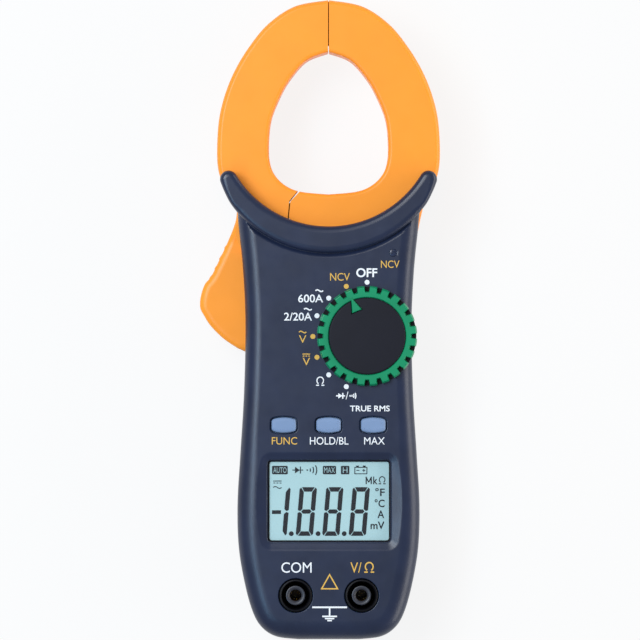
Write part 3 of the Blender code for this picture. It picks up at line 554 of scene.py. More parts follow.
def brushed_metal(name, colour, roughness, stretch=(1.0, 1.0, 14.0)):
    made = new_material(name, colour, roughness, metallic=1.0)
    streak = noise(made, 700.0, 4.0, stretch)
    vary_colour(made, streak, shade(colour, 0.82), shade(colour, 1.08))
    vary_roughness(made, streak, roughness - 0.08, roughness + 0.12)
    add_bump(made, streak, 0.12, 0.03)
    return made


def banded(name, colour, roughness, per_metre, axis, metallic=0.0, depth=0.4):
    """Fine parallel layers or turns, such as laminations or a winding."""
    made = new_material(name, colour, roughness, metallic=metallic)
    wave = add_node(made, "ShaderNodeTexWave", object_place(made), Scale=per_metre / 20, Distortion=0.3)
    wave.bands_direction = axis
    vary_colour(made, wave.outputs["Fac"], shade(colour, 0.55), colour, 0.2, 0.7)
    vary_roughness(made, noise(made, 500.0), roughness - 0.08, roughness + 0.08)
    add_bump(made, wave.outputs["Fac"], depth, 0.1)
    return made


def clear_window():
    made = new_material("window_acrylic", (0.30, 0.36, 0.40), 0.06)
    set_shader(made, Alpha=0.03)
    vary_roughness(made, noise(made, 300.0), 0.04, 0.09)
    made.surface_render_method = "BLENDED"
    return made


def circuit_board():
    """Solder mask over copper tracks."""
    mask, track = (0.008, 0.13, 0.05), (0.02, 0.24, 0.09)
    made = new_material("board_solder_mask", mask, 0.38)
    brick = add_node(made, "ShaderNodeTexBrick", object_place(made), Scale=160.0, Mortar_Size=0.09)
    vary_colour(made, brick.outputs["Fac"], mask, track, 0.3, 0.6)
    vary_roughness(made, noise(made, 600.0), 0.32, 0.45)
    add_bump(made, brick.outputs["Fac"], 0.3, 0.04)
    return made


def cell_jacket():
    """A printed cell jacket in two plain bands, with no lettering."""
    made = new_material("cell_jacket_print", (0.10, 0.10, 0.11), 0.3, metallic=0.4)
    split = add_node(made, "ShaderNodeSeparateXYZ", object_place(made))
    band = add_node(made, "ShaderNodeMapRange", [("Value", split.outputs["Y"])],
                    From_Min=-0.0125, From_Max=-0.0120)
    vary_colour(made, band.outputs["Result"], (0.62, 0.34, 0.10), (0.06, 0.06, 0.07), 0.4, 0.6)
    vary_roughness(made, noise(made, 400.0), 0.24, 0.36)
    add_bump(made, noise(made, 900.0), 0.05, 0.03)
    return made


# Name, colour, roughness, the grain's scale and strength, the mottle and the specular level
MOULDED = {
    "case": ("case_moulded", (0.011, 0.018, 0.046), 0.34, 2600.0, 0.10, 0.10, 0.45),
    "jaw": ("jaw_moulded", (0.99, 0.318, 0.027), 0.36, 2200.0, 0.10, 0.02, 0.3),
    "dial": ("dial_moulded", (0.004, 0.250, 0.108), 0.34, 2400.0, 0.15, 0.07, 0.3),
    "cap": ("cap_moulded", (0.007, 0.007, 0.013), 0.55, 3000.0, 0.20, 0.06, 0.2),
    "button": ("button_rubber", (0.180, 0.265, 0.430), 0.55, 2600.0, 0.15, 0.05, 0.4),
    "jack": ("jack_moulded", (0.003, 0.003, 0.005), 0.45, 2200.0, 0.10, 0.10, 0.15),
    # The post's grey is a painted highlight: the post is the shroud's black plastic, made lighter where
    # its round rim catches the light.
    "post": ("jack_post_painted_highlight", (0.028, 0.029, 0.040), 0.40, 2200.0, 0.10, 0.10, 0.5),
    "black": ("black_moulded", (0.014, 0.014, 0.016), 0.50, 2600.0, 0.25, 0.10, 0.5),
    "white": ("white_moulded", (0.78, 0.78, 0.75), 0.48, 2400.0, 0.15, 0.03, 0.5),
    "ptc": ("ptc_coating", (0.55, 0.26, 0.04), 0.45, 900.0, 0.3, 0.12, 0.5),
}


def materials():
    return {key: moulded_plastic(*values) for key, values in MOULDED.items()} | {
        "rubber": banded("zebra_strip_rubber", (0.05, 0.05, 0.05), 0.75, 4000.0, "X"),
        "steel": brushed_metal("nickel_steel", (0.62, 0.63, 0.65), 0.30),
        "zinc": brushed_metal("zinc_plate", (0.70, 0.71, 0.73), 0.34, (14.0, 1.0, 1.0)),
        "brass": brushed_metal("turned_brass", (0.75, 0.53, 0.20), 0.26),
        "core": banded("core_laminations", (0.30, 0.31, 0.33), 0.45, 2600.0, "Z", 1.0),
        "copper": banded("enamelled_copper", (0.60, 0.22, 0.06), 0.28, 3000.0, "Y", 1.0, 0.8),
        "board": circuit_board(),
        "cell": cell_jacket(),
        "window": clear_window(),
        "led": varied("led_smoked_lens", (0.012, 0.019, 0.046), 0.2, (1500.0, 2.0), (0.7, 1.8),
                      (2000.0, 3.0, 0.14, 0.28)),
        "lcd": varied("lcd_cell", (0.43, 0.62, 0.63), 0.35, (40.0, 1.0), (0.975, 1.02),
                      (900.0, 3.0, 0.30, 0.40), (3500.0, 3.0, 0.04, 0.02), specular=0.15),
        "segment": varied("lcd_segments_on", (0.012, 0.009, 0.011), 0.5, (500.0, 1.0), (0.9, 1.15),
                          (900.0, 3.0, 0.45, 0.55), specular=0.1),
        "white_ink": ink("white_ink", (0.86, 0.87, 0.88)),
        "gold_ink": ink("gold_ink", (0.74, 0.44, 0.085)),
    }


NODE_LOOKS = {
    "core": ("fixed_jaw_core", "moving_jaw_core"),
    "copper": ("fixed_jaw_coil", "moving_jaw_coil"),
    "steel": ("pivot_sleeve", "crystal", "detent_ball_1", "detent_ball_2", "detent_spring_1",
              "detent_spring_2", "battery_spring_1", "battery_spring_2", "battery_spring_3",
              *BOARD_SCREWS),
    "zinc": ("battery_contact_low", "battery_contact_high"),
    "brass": ("rotor_wiper",),
    "lcd": ("lcd_panel",),
    "white": ("lcd_backlight", "contact_rotor"),
    "black": ("lcd_frame", "tact_switch_1", "tact_switch_2", "tact_switch_3", "meter_chip", "buzzer"),
    "rubber": ("zebra_strip",),
    "board": ("main_board",),
    "ptc": ("ptc_thermistor",),
    "cell": ("battery_1", "battery_2", "battery_3"),
}


def dress_nodes(look):
    """The CAD nodes that stay get their own finish."""
    for key, names in NODE_LOOKS.items():
        for name in names:
            node = frame["nodes"][name]
            for i in range(max(len(node.material_slots), 1)):
                if not node.material_slots:
                    node.data.materials.append(look[key])
                node.material_slots[i].material = look[key]


# ---------------------------------------------------------------- case

def below(top_y, ease):
    """An easing that leaves the outline's top corners where they are."""
    return lambda x, y: 0.0 if y > top_y - 0.01 else ease(x, y) if callable(ease) else ease


def face_ease(x, y):
    """How far the front edge is rounded in: wider round the display end, narrower at the waist."""
    return 5.5 + 0.9 * smoothstep(-y, -6.0, 22.0)


def jaw_room(z_low, z_high):
    across = box((-50, JAW_BASE_Y - PARTING_GAP, z_low), (50, BEYOND, z_high))
    return across, prism(circle(PIVOT, HUB_ROOM_R), z_low, z_high)


def lever_slot(z_low, z_high):
    low, high = LEVER_ROOM
    return box((*low, z_low), (*high, z_high))


def guard(z_flat, z_face):
    """A crescent guard with a full round edge and a slight crown."""
    up = 1 if z_face > z_flat else -1
    edge = [(crescent(1.7 * (1 - c)), z_face - up * (0.15 + 2.0 * (1 - s))) for c, s in quarter(8)]
    return stack([(crescent(), z_flat), *edge, (crescent(2.3), z_face)])


def case_body(z_part, z_face, ease, drop, name):
    outline = case_outline()
    seam = 0.35
    up = 1 if z_face > z_part else -1
    layers = eased_layers(outline, (seam, z_part), (0, z_part + up * seam))
    layers += round_layers(outline, z_part, z_face, below(CASE_SIDE[-1][0], ease), drop)
    return stack(layers, name)


def cavity(z_part, z_face):
    """The hollow inside a shell, which stops short of the jaws."""
    inner = [point for point in eased(case_outline(), CASE_WALL) if point[1] < CAVITY_TOP_Y]
    corner = next(i for i in range(len(inner))
                  if inner[i][0] > 0 and inner[i + 1][0] < 0 < inner[i][1])
    half = inner[corner][0]
    outline = inner[:corner + 1] + [(half, CAVITY_TOP_Y), (-half, CAVITY_TOP_Y)] + inner[corner + 1:]
    up = 1 if z_face > z_part else -1
    return stack([(outline, z_part), (outline, z_face - up * 3.2),
                  (eased(outline, below(CAVITY_TOP_Y, 0.9)), z_face - up * 1.0),
                  (eased(outline, below(CAVITY_TOP_Y, 2.4)), z_face)])


def guard_groove():
    """The soft channel that the guard's lower edge rises from."""
    profile = ((-0.6, -0.9), (0.15, -0.9), (0.45, -0.7), (0.8, -0.32), (1.2, -0.09), (1.7, 0.02),
               (1.7, 8.0), (-0.6, 8.0))
    profile = [(GUARD_LOW_R + out, FRONT_Z + rise) for out, rise in profile]
    return turned(GUARD_LOW_CENTRE, profile, 192, closed=True)


def display_recess():
    """The dished frame round the window, bowed at both sides, whose slopes run down to the window."""
    centre = (0.35, -23.1)
    floor = bowed_rectangle(WINDOW, grown(WINDOW_SIZE, 1.1), 1.3)
    lip = bowed_rectangle(centre, (43.0, 31.4), 2.6, bow_x=1.9)
    mouth = bowed_rectangle(centre, (44.2, 32.6), 3.2, bow_x=1.9)
    floor_z = FRONT_Z - 1.35
    slope = ((0.0, 0.0), (0.03, 0.50), (0.10, 0.58), (0.45, 0.80), (0.85, 1.12), (1.0, 1.26))
    layers = []
    for share, rise in slope:
        outline = [(ax + (bx - ax) * share, ay + (by - ay) * share)
                   for (ax, ay), (bx, by) in zip(floor, lip)]
        layers.append((outline, floor_z + rise))
    return stack(layers + [(mouth, FRONT_Z + 0.01), (mouth, FRONT_Z + 9.0)])


def top_edge():
    return circle(GUARD_TOP_CENTRE, GUARD_TOP_R + TOP_EDGE_CUT, 128)


def circles(nodes, radius, count=24):
    return [circle(node_centre(node), radius, count) for node in nodes]


def front_hollow():
    """The front shell's hollow, around the screw posts and the dial's collar."""
    hollow = cavity(PARTING_Z - 2, FRONT_Z - CASE_WALL)
    collar = circle(DIAL, DIAL_COLLAR_R, 64)
    cut(hollow, prisms(circles(CASE_SCREWS[:2], SCREW_POST_R), PARTING_Z + PARTING_GAP, ABOVE_Z),
        prisms([*circles(BOARD_SCREWS, BOARD_POST_R), collar], BOARD_POST_Z, ABOVE_Z + 1))
    return settle(hollow)


def front_shell(look):
    body = case_body(PARTING_Z, FRONT_Z, face_ease, FACE_EASE, "front_shell")
    cut(body, stacks(face_holes()), prism(top_edge(), 10, ABOVE_Z), guard_groove())
    join(body, guard(*GUARD_FRONT_Z))
    window_hole = bowed_rectangle(WINDOW, grown(WINDOW_SIZE, 0.7), 1.1)
    cut(body, front_hollow(), *jaw_room(PARTING_Z - 3, GUARD_FRONT_Z[0]),
        lever_slot(PARTING_Z - 2.5, PARTING_Z + LEVER_HALF + 0.4),
        prisms(circles(CASE_SCREWS, SCREW_HOLE_R), PARTING_Z - 1, FRONT_Z - 2.6),
        prisms(circles(BOARD_SCREWS, 1.0, 16), BOARD_Z, FRONT_Z - 1.8),
        prism(detent_wave(), BOARD_Z, FRONT_Z - CASE_WALL), display_recess(),
        prism(window_hole, 20, ABOVE_Z))
    finish(settle(body), look["case"], "case", "case_blue", "front_case")


def detent_wave():
    """The inner wall of the detent ring, with a valley at every range position."""
    points = []
    for i in range(128):
        angle = tau * i / 128
        wave = cos(360 / RANGE_STEP_DEG * (angle - radians(DIAL_REST_DEG)))
        points.append(polar(DIAL, DETENT_R + DETENT_DEPTH * wave, angle))
    return points


def face_holes():
    """The mouths for the jacks, the dial, the lamp and the buttons, each with an eased rim."""
    holes = [flared_hole(circle(place, JACK_HOLE_R), 20, 0.35) for place in JACKS.values()]
    holes.append(flared_hole(circle(DIAL, DIAL_HOLE_R), 24, 0.3))
    holes.append(flared_hole(circle(LED, LED_HOLE_R, 32), 24, 0.06))
    for place in BUTTONS.values():
        well = bowed_rectangle(place, grown(BUTTON_SIZE, 0.7), 1.05, 0, BUTTON_BOW)
        holes.append(flared_hole(well, 24, 0.4))
    return holes


def rear_shell(look):
    body = case_body(PARTING_Z - PARTING_GAP, BACK_Z, REAR_EASE, REAR_EASE, "rear_shell")
    cut(body, prism(top_edge(), -10, 20))
    join(body, guard(GUARD_REAR_Z[1], GUARD_REAR_Z[0]))
    cut(body, cavity(PARTING_Z + 2, CASE_WALL), *jaw_room(GUARD_REAR_Z[1], PARTING_Z + 3),
        lever_slot(PARTING_Z - LEVER_HALF - 0.4, PARTING_Z + 2.5))
    cover_floor = bowed_rectangle(COVER_CENTRE, (COVER_SIZE[0] + 3.2, COVER_SIZE[1] + 3.0), 2.3)
    half, low, high, top, wall = 16.6, -46.6, 2.2, 14.0, 1.5
    join(body, prism(cover_floor, 0.6, 4.3),
         box((-half - wall, low - wall, 1.2), (half + wall, high + wall, top + 1.6)),
         box((-7.0, 44.5, 1.0), (-5.2, 55.5, 21.0)),
         prisms(circles(CASE_SCREWS[:2], SCREW_POST_R + 0.5), 1.1, PARTING_Z - 0.4),
         prism(circle(COVER_SCREW, 2.8, 24), 1.3, 11.0))
    recess = bowed_rectangle(COVER_CENTRE, grown(COVER_SIZE, 0.6), 2.3)
    wells = [eased_layers(mouth, (-0.6, -3), (-0.4, -0.05), (-0.1, 0.2), (0, 0.5), (0, 3.2))
             for mouth in circles(CASE_SCREWS, SCREW_WELL_R, 40)]
    cut(body, stack(eased_layers(recess, (-0.7, -5), (-0.5, -0.05), (-0.15, 0.18), (0, 0.5), (0, 2.3))),
        box((-half, low, -6), (half, high, top)), prisms(circles(CASE_SCREWS, SCREW_HOLE_R), -2, 20),
        stacks(wells), prism(circle(COVER_SCREW, COVER_SHANK_R, 24), -4, 9.5))
    finish(settle(body), look["case"], "case", "case_blue", "rear_case")


def battery_cover(look):
    outline = bowed_rectangle(COVER_CENTRE, COVER_SIZE, 2.0)
    steps = ((0.45, BACK_Z), (0.13, 0.13), (0, 0.45), (0, COVER_HIGH[2]))
    body = stack(eased_layers(outline, *steps), "battery_door")
    grips = []
    for row in range(6):
        y = COVER_CENTRE[1] - 12.0 + row * 2.2
        grip = bowed_rectangle((0, y), (15.0 - abs(row - 2.5) * 1.2, 1.1), 0.5, corner=4, side=2)
        grips.append(eased_layers(grip, (-0.45, -0.6), (-0.3, -0.02), (0, 0.3), (0.2, 0.6)))
    head = circle(COVER_SCREW, COVER_HEAD_R, 40)
    head_hole = eased_layers(head, (-0.5, -1), (-0.35, -0.02), (0, 0.35), (0, 1.15))
    cut(body, stacks(grips), stack(head_hole), prism(circle(COVER_SCREW, COVER_SHANK_R, 24), -1.5, 3))
    finish(settle(body), look["case"], "case", "case_blue", "battery_cover")


def screw(node, head_r, head_height, shank_r, look):
    """A cross-head screw: a pan head with a tapered cross, and a threaded shank."""
    low, high = node_box(node)
    place = node_centre(node)
    head_z, tip_z = low[2], high[2]
    under_z = head_z + head_height
    profile = [(0, head_z)]
    profile += [(head_r * (0.72 + 0.28 * s), head_z + 0.45 * head_height * (1 - c))
                for c, s in quarter(6)]
    profile += [(head_r, under_z), (shank_r, under_z)]
    pitch, z = 0.8, under_z + 0.5
    while z < tip_z - 2 * shank_r:
        profile += [(shank_r * 0.78, z), (shank_r, z + pitch / 2)]
        z += pitch
    profile += [(shank_r * 0.7, tip_z - shank_r), (0, tip_z)]
    body = turned(place, profile, 40, name=node + "_cross_head")
    long, half = 0.62 * head_r, 0.15 * head_r
    cross, corner = [], [(long, half), (half, half), (half, long)]
    for _ in range(4):
        cross += corner
        corner = [(-y, x) for x, y in corner]
    mouth = [(place[0] + x, place[1] + y) for x, y in cross]
    root = [(place[0] + x * 0.55, place[1] + y * 0.8) for x, y in cross]
    cut(body, stack([(mouth, head_z - 1), (mouth, head_z), (root, head_z + head_height * 0.75)]))
    finish(settle(body), look["steel"], "case", "steel", node)


# ---------------------------------------------------------------- jaws

def split_side(lap, gap, top_x):
    """The edge between the jaws, from the hub up through the hole to the top. lap moves the closed
    stretches sideways, so that the back shells overlap the slit seen between the front ones."""
    base, knee, rim = SPLIT_LINE
    return [(base[0] + gap - lap, base[1]), (knee[0] + gap - lap, knee[1] - 0.7),
            (knee[0] + 1.3 * gap, knee[1] - 0.1), (rim[0] + 2.6 * gap, rim[1]), (-7.0, 82.0),
            (top_x, 100.0), (top_x, 125.6), (top_x - lap, 126.2), (top_x - lap, BEYOND)]


def hole_cutter():
    """The hole through the ring, with both rims rounded."""
    hole = smooth_curve(RING_HOLE, 8)
    outline = hole + [(-x, y) for x, y in hole[-2:0:-1]]
    rounding, beyond = 1.3, 0.3
    layers = []
    for z, side in ((JAW_LOW, -1), (JAW_HIGH, 1)):
        rim = [(eased(outline, -rounding, 1 - c), z - side * rounding * (1 - s)) for c, s in quarter(6)]
        rim.append((eased(outline, -rounding - beyond), z + side * beyond))
        layers += rim[::side]
    return stack(layers)


def ridge_offsets(outline):
    """How far each point of the outline is pushed out by the trigger's grip ridges."""
    bumps = [sum(max(0.0, 1 - (hypot(x - rx, y - ry) / 0.8) ** 2) for rx, ry in LEVER_RIDGES)
             for x, y in outline]
    return [(-0.42 * bump, -0.20 * bump) for bump in bumps]


def with_ridges(layers, offsets):
    """The layers with the ridges, which fade out towards the face."""
    count = len(layers)
    made = []
    for i, (outline, z) in enumerate(layers):
        fade = min(1.0, 1.25 * (count - 1 - i) / count)
        made.append(([(x + dx * fade, y + dy * fade) for (x, y), (dx, dy) in zip(outline, offsets)], z))
    return made


def jaw_shell(outline, front, ease, thickness_at, name):
    """Half of a jaw, from the parting face to its rounded outer face. The faces are divided where
    the thickness changes."""
    side = 1 if front else -1
    flat = PARTING_Z + side * SEAM
    layers = eased_layers(outline, (SEAM, flat), (0, flat + side * 0.2))
    layers += round_layers(outline, flat, PARTING_Z + side * JAW_HALF, ease, 2.0)
    bm = bmesh.new()
    add_stack(bm, with_ridges(layers, ridge_offsets(outline)))
    low_y, high_y = THINNING_Y
    for i in range(THINNING_STEPS + 1):
        y = low_y + (high_y - low_y) * i / THINNING_STEPS
        everything = [*bm.verts, *bm.edges, *bm.faces]
        bmesh.ops.bisect_plane(bm, geom=everything, dist=1e-5, plane_co=(0, y, 0), plane_no=(0, 1, 0))
    for vertex in bm.verts:
        offset = vertex.co.z - PARTING_Z
        if abs(offset) > 0.5:
            vertex.co.z = PARTING_Z + offset * thickness_at(vertex.co.y)
    return new_object(name, bm)


def cut_jaw(obj, front, core_line, screw_place, screw_r):
    low, high = (-2, CHANNEL_HALF) if front else (-CHANNEL_HALF, 2)
    line = smooth_curve(core_line, 4)
    cut(obj, hole_cutter(),
        prism(stroke(shortened(line, 2.2), CHANNEL_WIDTH), PARTING_Z + low, PARTING_Z + high),
        prism(stroke(line, CORE_SLOT_WIDTH, 4.0), PARTING_Z + max(low, -CORE_SLOT_HALF),
              PARTING_Z + min(high, CORE_SLOT_HALF)),
        prism(circle(screw_place, screw_r, 32), BACK_Z, ABOVE_Z))


def finish_jaw(obj, front, kind, body, look):
    finish(settle(obj), look["jaw"], body, "jaw_orange", kind + ("_front" if front else "_back"))


def fixed_jaw_shell(front, look):
    outer = smooth_curve(RING_OUTER, 8)
    inner = [(28.4, JAW_BASE_Y), (-17.0, JAW_BASE_Y), (-17.0, 80.0), (-4.0, 90.0)]
    name = "fixed_jaw_shell_front" if front else "fixed_jaw_shell_back"
    obj = jaw_shell([(-4.0, 139.7), *outer, *inner], front, 1.6, lambda y: 1.0, name)
    edge = split_side(0.0 if front else SPLIT_LAP, 0.35, SEAM)
    sleeve = arc(PIVOT, HUB_R + 0.7, -22, 29, 16)
    cut(obj, prism(sleeve + edge + [(-60, BEYOND), (-60, 55), (-12.0, 55)], BACK_Z, ABOVE_Z))
    cut_jaw(obj, front, FIXED_CORE_LINE, node_centre("case_screw_3"), 1.8)
    finish_jaw(obj, front, "fixed_jaw", "case", look)


def lever_outline():
    """The moving jaw's whole outer edge: ring, trigger and hub side."""
    ring = [(-x, y) for x, y in smooth_curve(RING_OUTER[:-2], 8)]
    return ring + smooth_curve(LEVER_EDGE, 8) + list(LEVER_INSIDE)


def lever_ease(x, y):
    return 1.6 + 0.9 * smoothstep(-y, -70.0, -56.0)


def lever_thickness(y):
    """The trigger is thinner than the jaw, so that it passes into the case."""
    thin = LEVER_HALF / JAW_HALF
    return thin + (1 - thin) * smoothstep(y, *THINNING_Y)


def moving_jaw_shell(front, look):
    side = 1 if front else -1
    hub_side = arc(PIVOT, HUB_R, -60, 15, 16)
    outline = [(4.0, 139.7), *lever_outline(), *hub_side, (-4.0, 70.0), (4.0, 90.0)]
    name = "moving_jaw_shell_front" if front else "moving_jaw_shell_back"
    obj = jaw_shell(outline, front, lever_ease, lever_thickness, name)
    join(obj, prism(circle(PIVOT, HUB_R), *sorted((PARTING_Z + side * SEAM, PARTING_Z + side * 8.95))))
    edge = split_side(0.0 if front else SPLIT_LAP, 0.0, -SEAM)
    hub = arc(PIVOT, HUB_R + 0.02, -60, 30, 20)
    cut(obj, prism(hub + edge + [(60, BEYOND), (60, 50), (-5, 50)], BACK_Z, ABOVE_Z))
    cut_jaw(obj, front, MOVING_CORE_LINE, PIVOT, 3.4)
    finish_jaw(obj, front, "moving_jaw", "moving_jaw", look)


def closing_spring(look):
    """The spring behind the trigger, made as a fixed coil. On the meter, the trigger presses it
    together as the jaw opens.
    """
    low, high = node_box("jaw_spring")
    wire_r, turns, per_turn, sides = 0.4, 6, 24, 10
    coil_r = (high[1] - low[1]) / 2 - wire_r
    start = Vector((low[0] + wire_r, (low[1] + high[1]) / 2, (low[2] + high[2]) / 2))
    length = high[0] - low[0] - 2 * wire_r
    rise = length / (turns * tau * coil_r)
    bm = bmesh.new()
    rings = []
    for i in range(turns * per_turn + 1):
        turn = i / per_turn
        out = Vector((0, cos(tau * turn), sin(tau * turn)))
        along = Vector((rise, -sin(tau * turn), cos(tau * turn))).normalized()
        side = out.cross(along)
        middle = start + Vector((length * turn / turns, 0, 0)) + out * coil_r
        spokes = [out * cos(tau * k / sides) + side * sin(tau * k / sides) for k in range(sides)]
        rings.append([bm.verts.new(middle + spoke * wire_r) for spoke in spokes])
    bridge(bm, rings)
    bm.faces.new(rings[0][::-1])
    bm.faces.new(rings[-1])
    spring = finish(new_object("closing_spring", bm, 60), look["steel"], "case", "steel", "jaw_spring")
    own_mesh(spring)


# ---------------------------------------------------------------- dial

def gear_outline(tip_r, root_r, half_tip, half_root):
    """The dial's toothed rim. The half widths are in degrees."""
    gap_half = 180 / DIAL_TEETH
    crown_r = tip_r + 0.02
    steps = ((-gap_half, root_r), (-half_root, root_r), (-half_tip, tip_r), (-half_tip / 3, crown_r),
             (half_tip / 3, crown_r), (half_tip, tip_r), (half_root, root_r))
    return [polar(DIAL, radius, radians(DIAL_REST_DEG + tooth * 360 / DIAL_TEETH + offset))
            for tooth in range(DIAL_TEETH) for offset, radius in steps]


def pointer_outline(tip_r, base_r, half):
    along = Vector((cos(radians(DIAL_REST_DEG)), sin(radians(DIAL_REST_DEG))))
    base, across = Vector(DIAL) + along * base_r, Vector((-along.y, along.x)) * half
    return [tuple(corner) for corner in (Vector(DIAL) + along * tip_r, base + across, base - across)]


def painted_shade_disc(look):
    """A black disc under the teeth. It is painted shade: it makes the gaps between the teeth dark,
    where shade falls.
    """
    low_z = DIAL_LOW_Z - 0.05
    profile = [(DIAL_CAP_R, low_z), (SHADE_DISC_R, low_z), (SHADE_DISC_R, SHADE_DISC_TOP_Z - 0.1),
               (SHADE_DISC_R - 0.1, SHADE_DISC_TOP_Z), (DIAL_CAP_R, SHADE_DISC_TOP_Z)]
    shading_disc = settle(turned(DIAL, profile, 96, True, "painted_shade_disc"))
    finish(shading_disc, look["jack"], "dial", "dial_black")


def range_dial(look):
    top = DIAL_TOP_Z
    steps = (
        (16.15, 14.5, 4.2, 5.1, SHADE_DISC_TOP_Z + 0.02), (16.25, 14.5, 4.4, 5.3, SHADE_DISC_TOP_Z + 0.2),
        (16.05, 14.35, 4.3, 5.2, top - 1.0), (15.85, 14.2, 4.1, 5.0, top - 0.4),
        (15.65, 14.1, 3.9, 4.85, top - 0.1), (15.40, 14.0, 3.7, 4.75, top),
    )
    wheel = stack([(gear_outline(*shape), z) for *shape, z in steps], "range_wheel")
    hub_r, bore_r, hub_low, hub_top = 8.7, 4.4, 29.5, DIAL_LOW_Z + 0.8
    profile = [(hub_r, hub_low), (hub_r, hub_top), (bore_r, hub_top), (bore_r, hub_low)]
    join(wheel, turned(DIAL, profile, closed=True))
    rim = circle(DIAL, DIAL_CAP_R + 0.15, 96)
    dish = eased_layers(rim, (0, 32.9), (0, top - 0.2), (-0.25, top + 0.01), (-0.25, ABOVE_Z))
    cut(wheel, stack(dish), prism(circle(DIAL, bore_r, 48), 20, 32.3))
    tip = pointer_outline(13.5, 8.7, 1.65)
    join(wheel, stack(eased_layers(tip, (0, 32.4), (0, 34.75), (0.25, 34.95))))
    finish(settle(wheel, 28), look["dial"], "dial", "dial_green", "range_dial")


def dial_cap(look):
    base, top = node_box("dial_cap")[0][2], node_box("dial_cap")[1][2]
    profile = [(0, base), (DIAL_CAP_R, base), (DIAL_CAP_R, top - 0.55)]
    profile += [(DIAL_CAP_R - 0.45 * (1 - c), top - 0.55 + 0.4 * s) for c, s in quarter(6, 1)]
    profile += [(DIAL_CAP_R * 0.7, top - 0.06), (DIAL_CAP_R * 0.35, top - 0.01), (0, top)]
    cap = turned(DIAL, profile, 96, name="dial_disc")
    notch = pointer_outline(14.4, 8.45, 2.0)
    cut(cap, stack(eased_layers(notch, (0, 30), (0, top - 0.2), (-0.15, top + 0.1), (-0.15, ABOVE_Z))))
    finish(settle(cap), look["cap"], "dial", "dial_black", "dial_cap")


# ---------------------------------------------------------------- face parts

def button(name, place, look):
    """A rubber key with a domed top."""
    def outline(less):
        corner = max(BUTTON_CORNER - less / 4, 0.3)
        return bowed_rectangle(place, grown(BUTTON_SIZE, -less), corner, 0, BUTTON_BOW)

    flange = bowed_rectangle(place, (BUTTON_SIZE[0] + 2.4, BUTTON_SIZE[1] + 2.2), 1.8, 0, BUTTON_BOW)
    dome = ((0, 0.75), (0.12, 0.5), (0.4, 0.27), (0.9, 0.13), (1.8, 0.04), (2.6, 0.0))
    layers = [*((flange, z) for z in BUTTON_FLANGE_Z), (outline(0), BUTTON_FLANGE_Z[1])]
    key = stack(layers + [(outline(less), BUTTON_TOP_Z - drop) for less, drop in dome], name + "_key")
    finish(settle(key), look["button"], BUTTON_BODIES[name], "button_grey_blue", name)


def window(look):
    outline = bowed_rectangle(WINDOW, WINDOW_SIZE, 0.9)
    z_low, z_high = WINDOW_LOW[2], WINDOW_HIGH[2]
    steps = ((0, z_low), (0, z_high - 0.2), (0.06, z_high - 0.06), (0.2, z_high))
    pane = stack(eased_layers(outline, *steps), "display_window")
    finish(settle(pane), look["window"], "case", "window_clear", "lcd_window")
    # A black ring under the window's edge: painted shade, standing in for the shaded gap round the
    # window and darkening the edge of the view.
    shade_ring = prism(eased(outline, -0.9), z_low - 0.06, z_low - 0.02, "window_shade_ring")
    view = bowed_rectangle(WINDOW, grown(WINDOW_SIZE, -VIEW_MARGIN), 0.8)
    cut(shade_ring, prism(view, z_low - 1, z_low + 1))
    finish(settle(shade_ring), look["jack"], "case", "black_plastic")


def jack(name, place, look):
    """A recessed 4 mm safety jack: a black shroud, the post in its middle, and the brass socket."""
    def ring(title, profile, count, key, slot, *replaced):
        finish(settle(turned(place, profile, count, True, title)), look[key], "case", slot, *replaced)

    shroud, socket = "jack_shroud_" + name, "jack_socket_" + name
    ring(shroud + "_body", [
        (2.15, 8.0), (4.6, 8.0), (4.6, 26.3), (5.3, 26.3), (5.3, 31.45), (5.22, 31.66), (5.05, 31.78),
        (4.8, 31.8), (4.66, 31.7), (4.55, 31.4), (4.2, 26.0), (4.1, 15.0), (2.9, 15.0), (2.9, 26.0),
        (2.15, 26.0)], 64, "jack", "black_plastic", shroud)
    # The post gets the lighter grey, a painted highlight on its rim; it is the same black plastic as
    # the shroud.
    ring("jack_post_" + name, [
        (2.15, 26.1), (3.0, 26.1), (3.15, 30.3), (3.1, 30.48), (2.95, 30.55), (2.6, 30.52), (2.3, 30.4),
        (1.95, 30.1), (1.85, 29.6), (1.85, 29.25), (2.15, 29.25)], 64, "post", "black_plastic")
    bore, outer = 1.85, 2.1
    ring(socket + "_barrel", [
        (outer, 9.0), (outer, 28.9), (outer - 0.12, 29.1), (bore + 0.1, 29.1), (bore, 28.9),
        (bore, 9.0)], 48, "brass", "brass", socket)


def lamp(look):
    low, high = node_box("ncv_led")
    radius = (high[0] - low[0]) / 2
    edge_z = FRONT_Z - 0.08
    dome = [(radius * c, edge_z + 0.16 * s) for c, s in quarter(8, 1)[:-1]]
    lens = turned(LED, [(0, low[2]), (radius, low[2]), (radius, edge_z), *dome, (0, edge_z + 0.16)], 40,
                  name="ncv_lens")
    finish(settle(lens), look["led"], "case", "led_red", "ncv_led")


# ---------------------------------------------------------------- print and display

def flat_shapes(outlines, z_low):
    """Thin shapes. Strokes that cross lie at slightly different heights, so that no faces coincide."""
    layers = []
    for i, outline in enumerate(outlines):
        z_high = z_low + PRINT_THICKNESS + 0.004 * (i % 5)
        layers.append([(outline, z_low), (outline, z_high)])
    return stacks(layers, "shapes")


def bar(centre, width, height):
    x, y = centre
    return [(x - width / 2, y - height / 2), (x + width / 2, y - height / 2),
            (x + width / 2, y + height / 2), (x - width / 2, y + height / 2)]


def bars(centre, *places):
    """Bars about a centre, each given as (right, up, width, height)."""
    return [bar((centre[0] + right, centre[1] + up), width, height)
            for right, up, width, height in places]


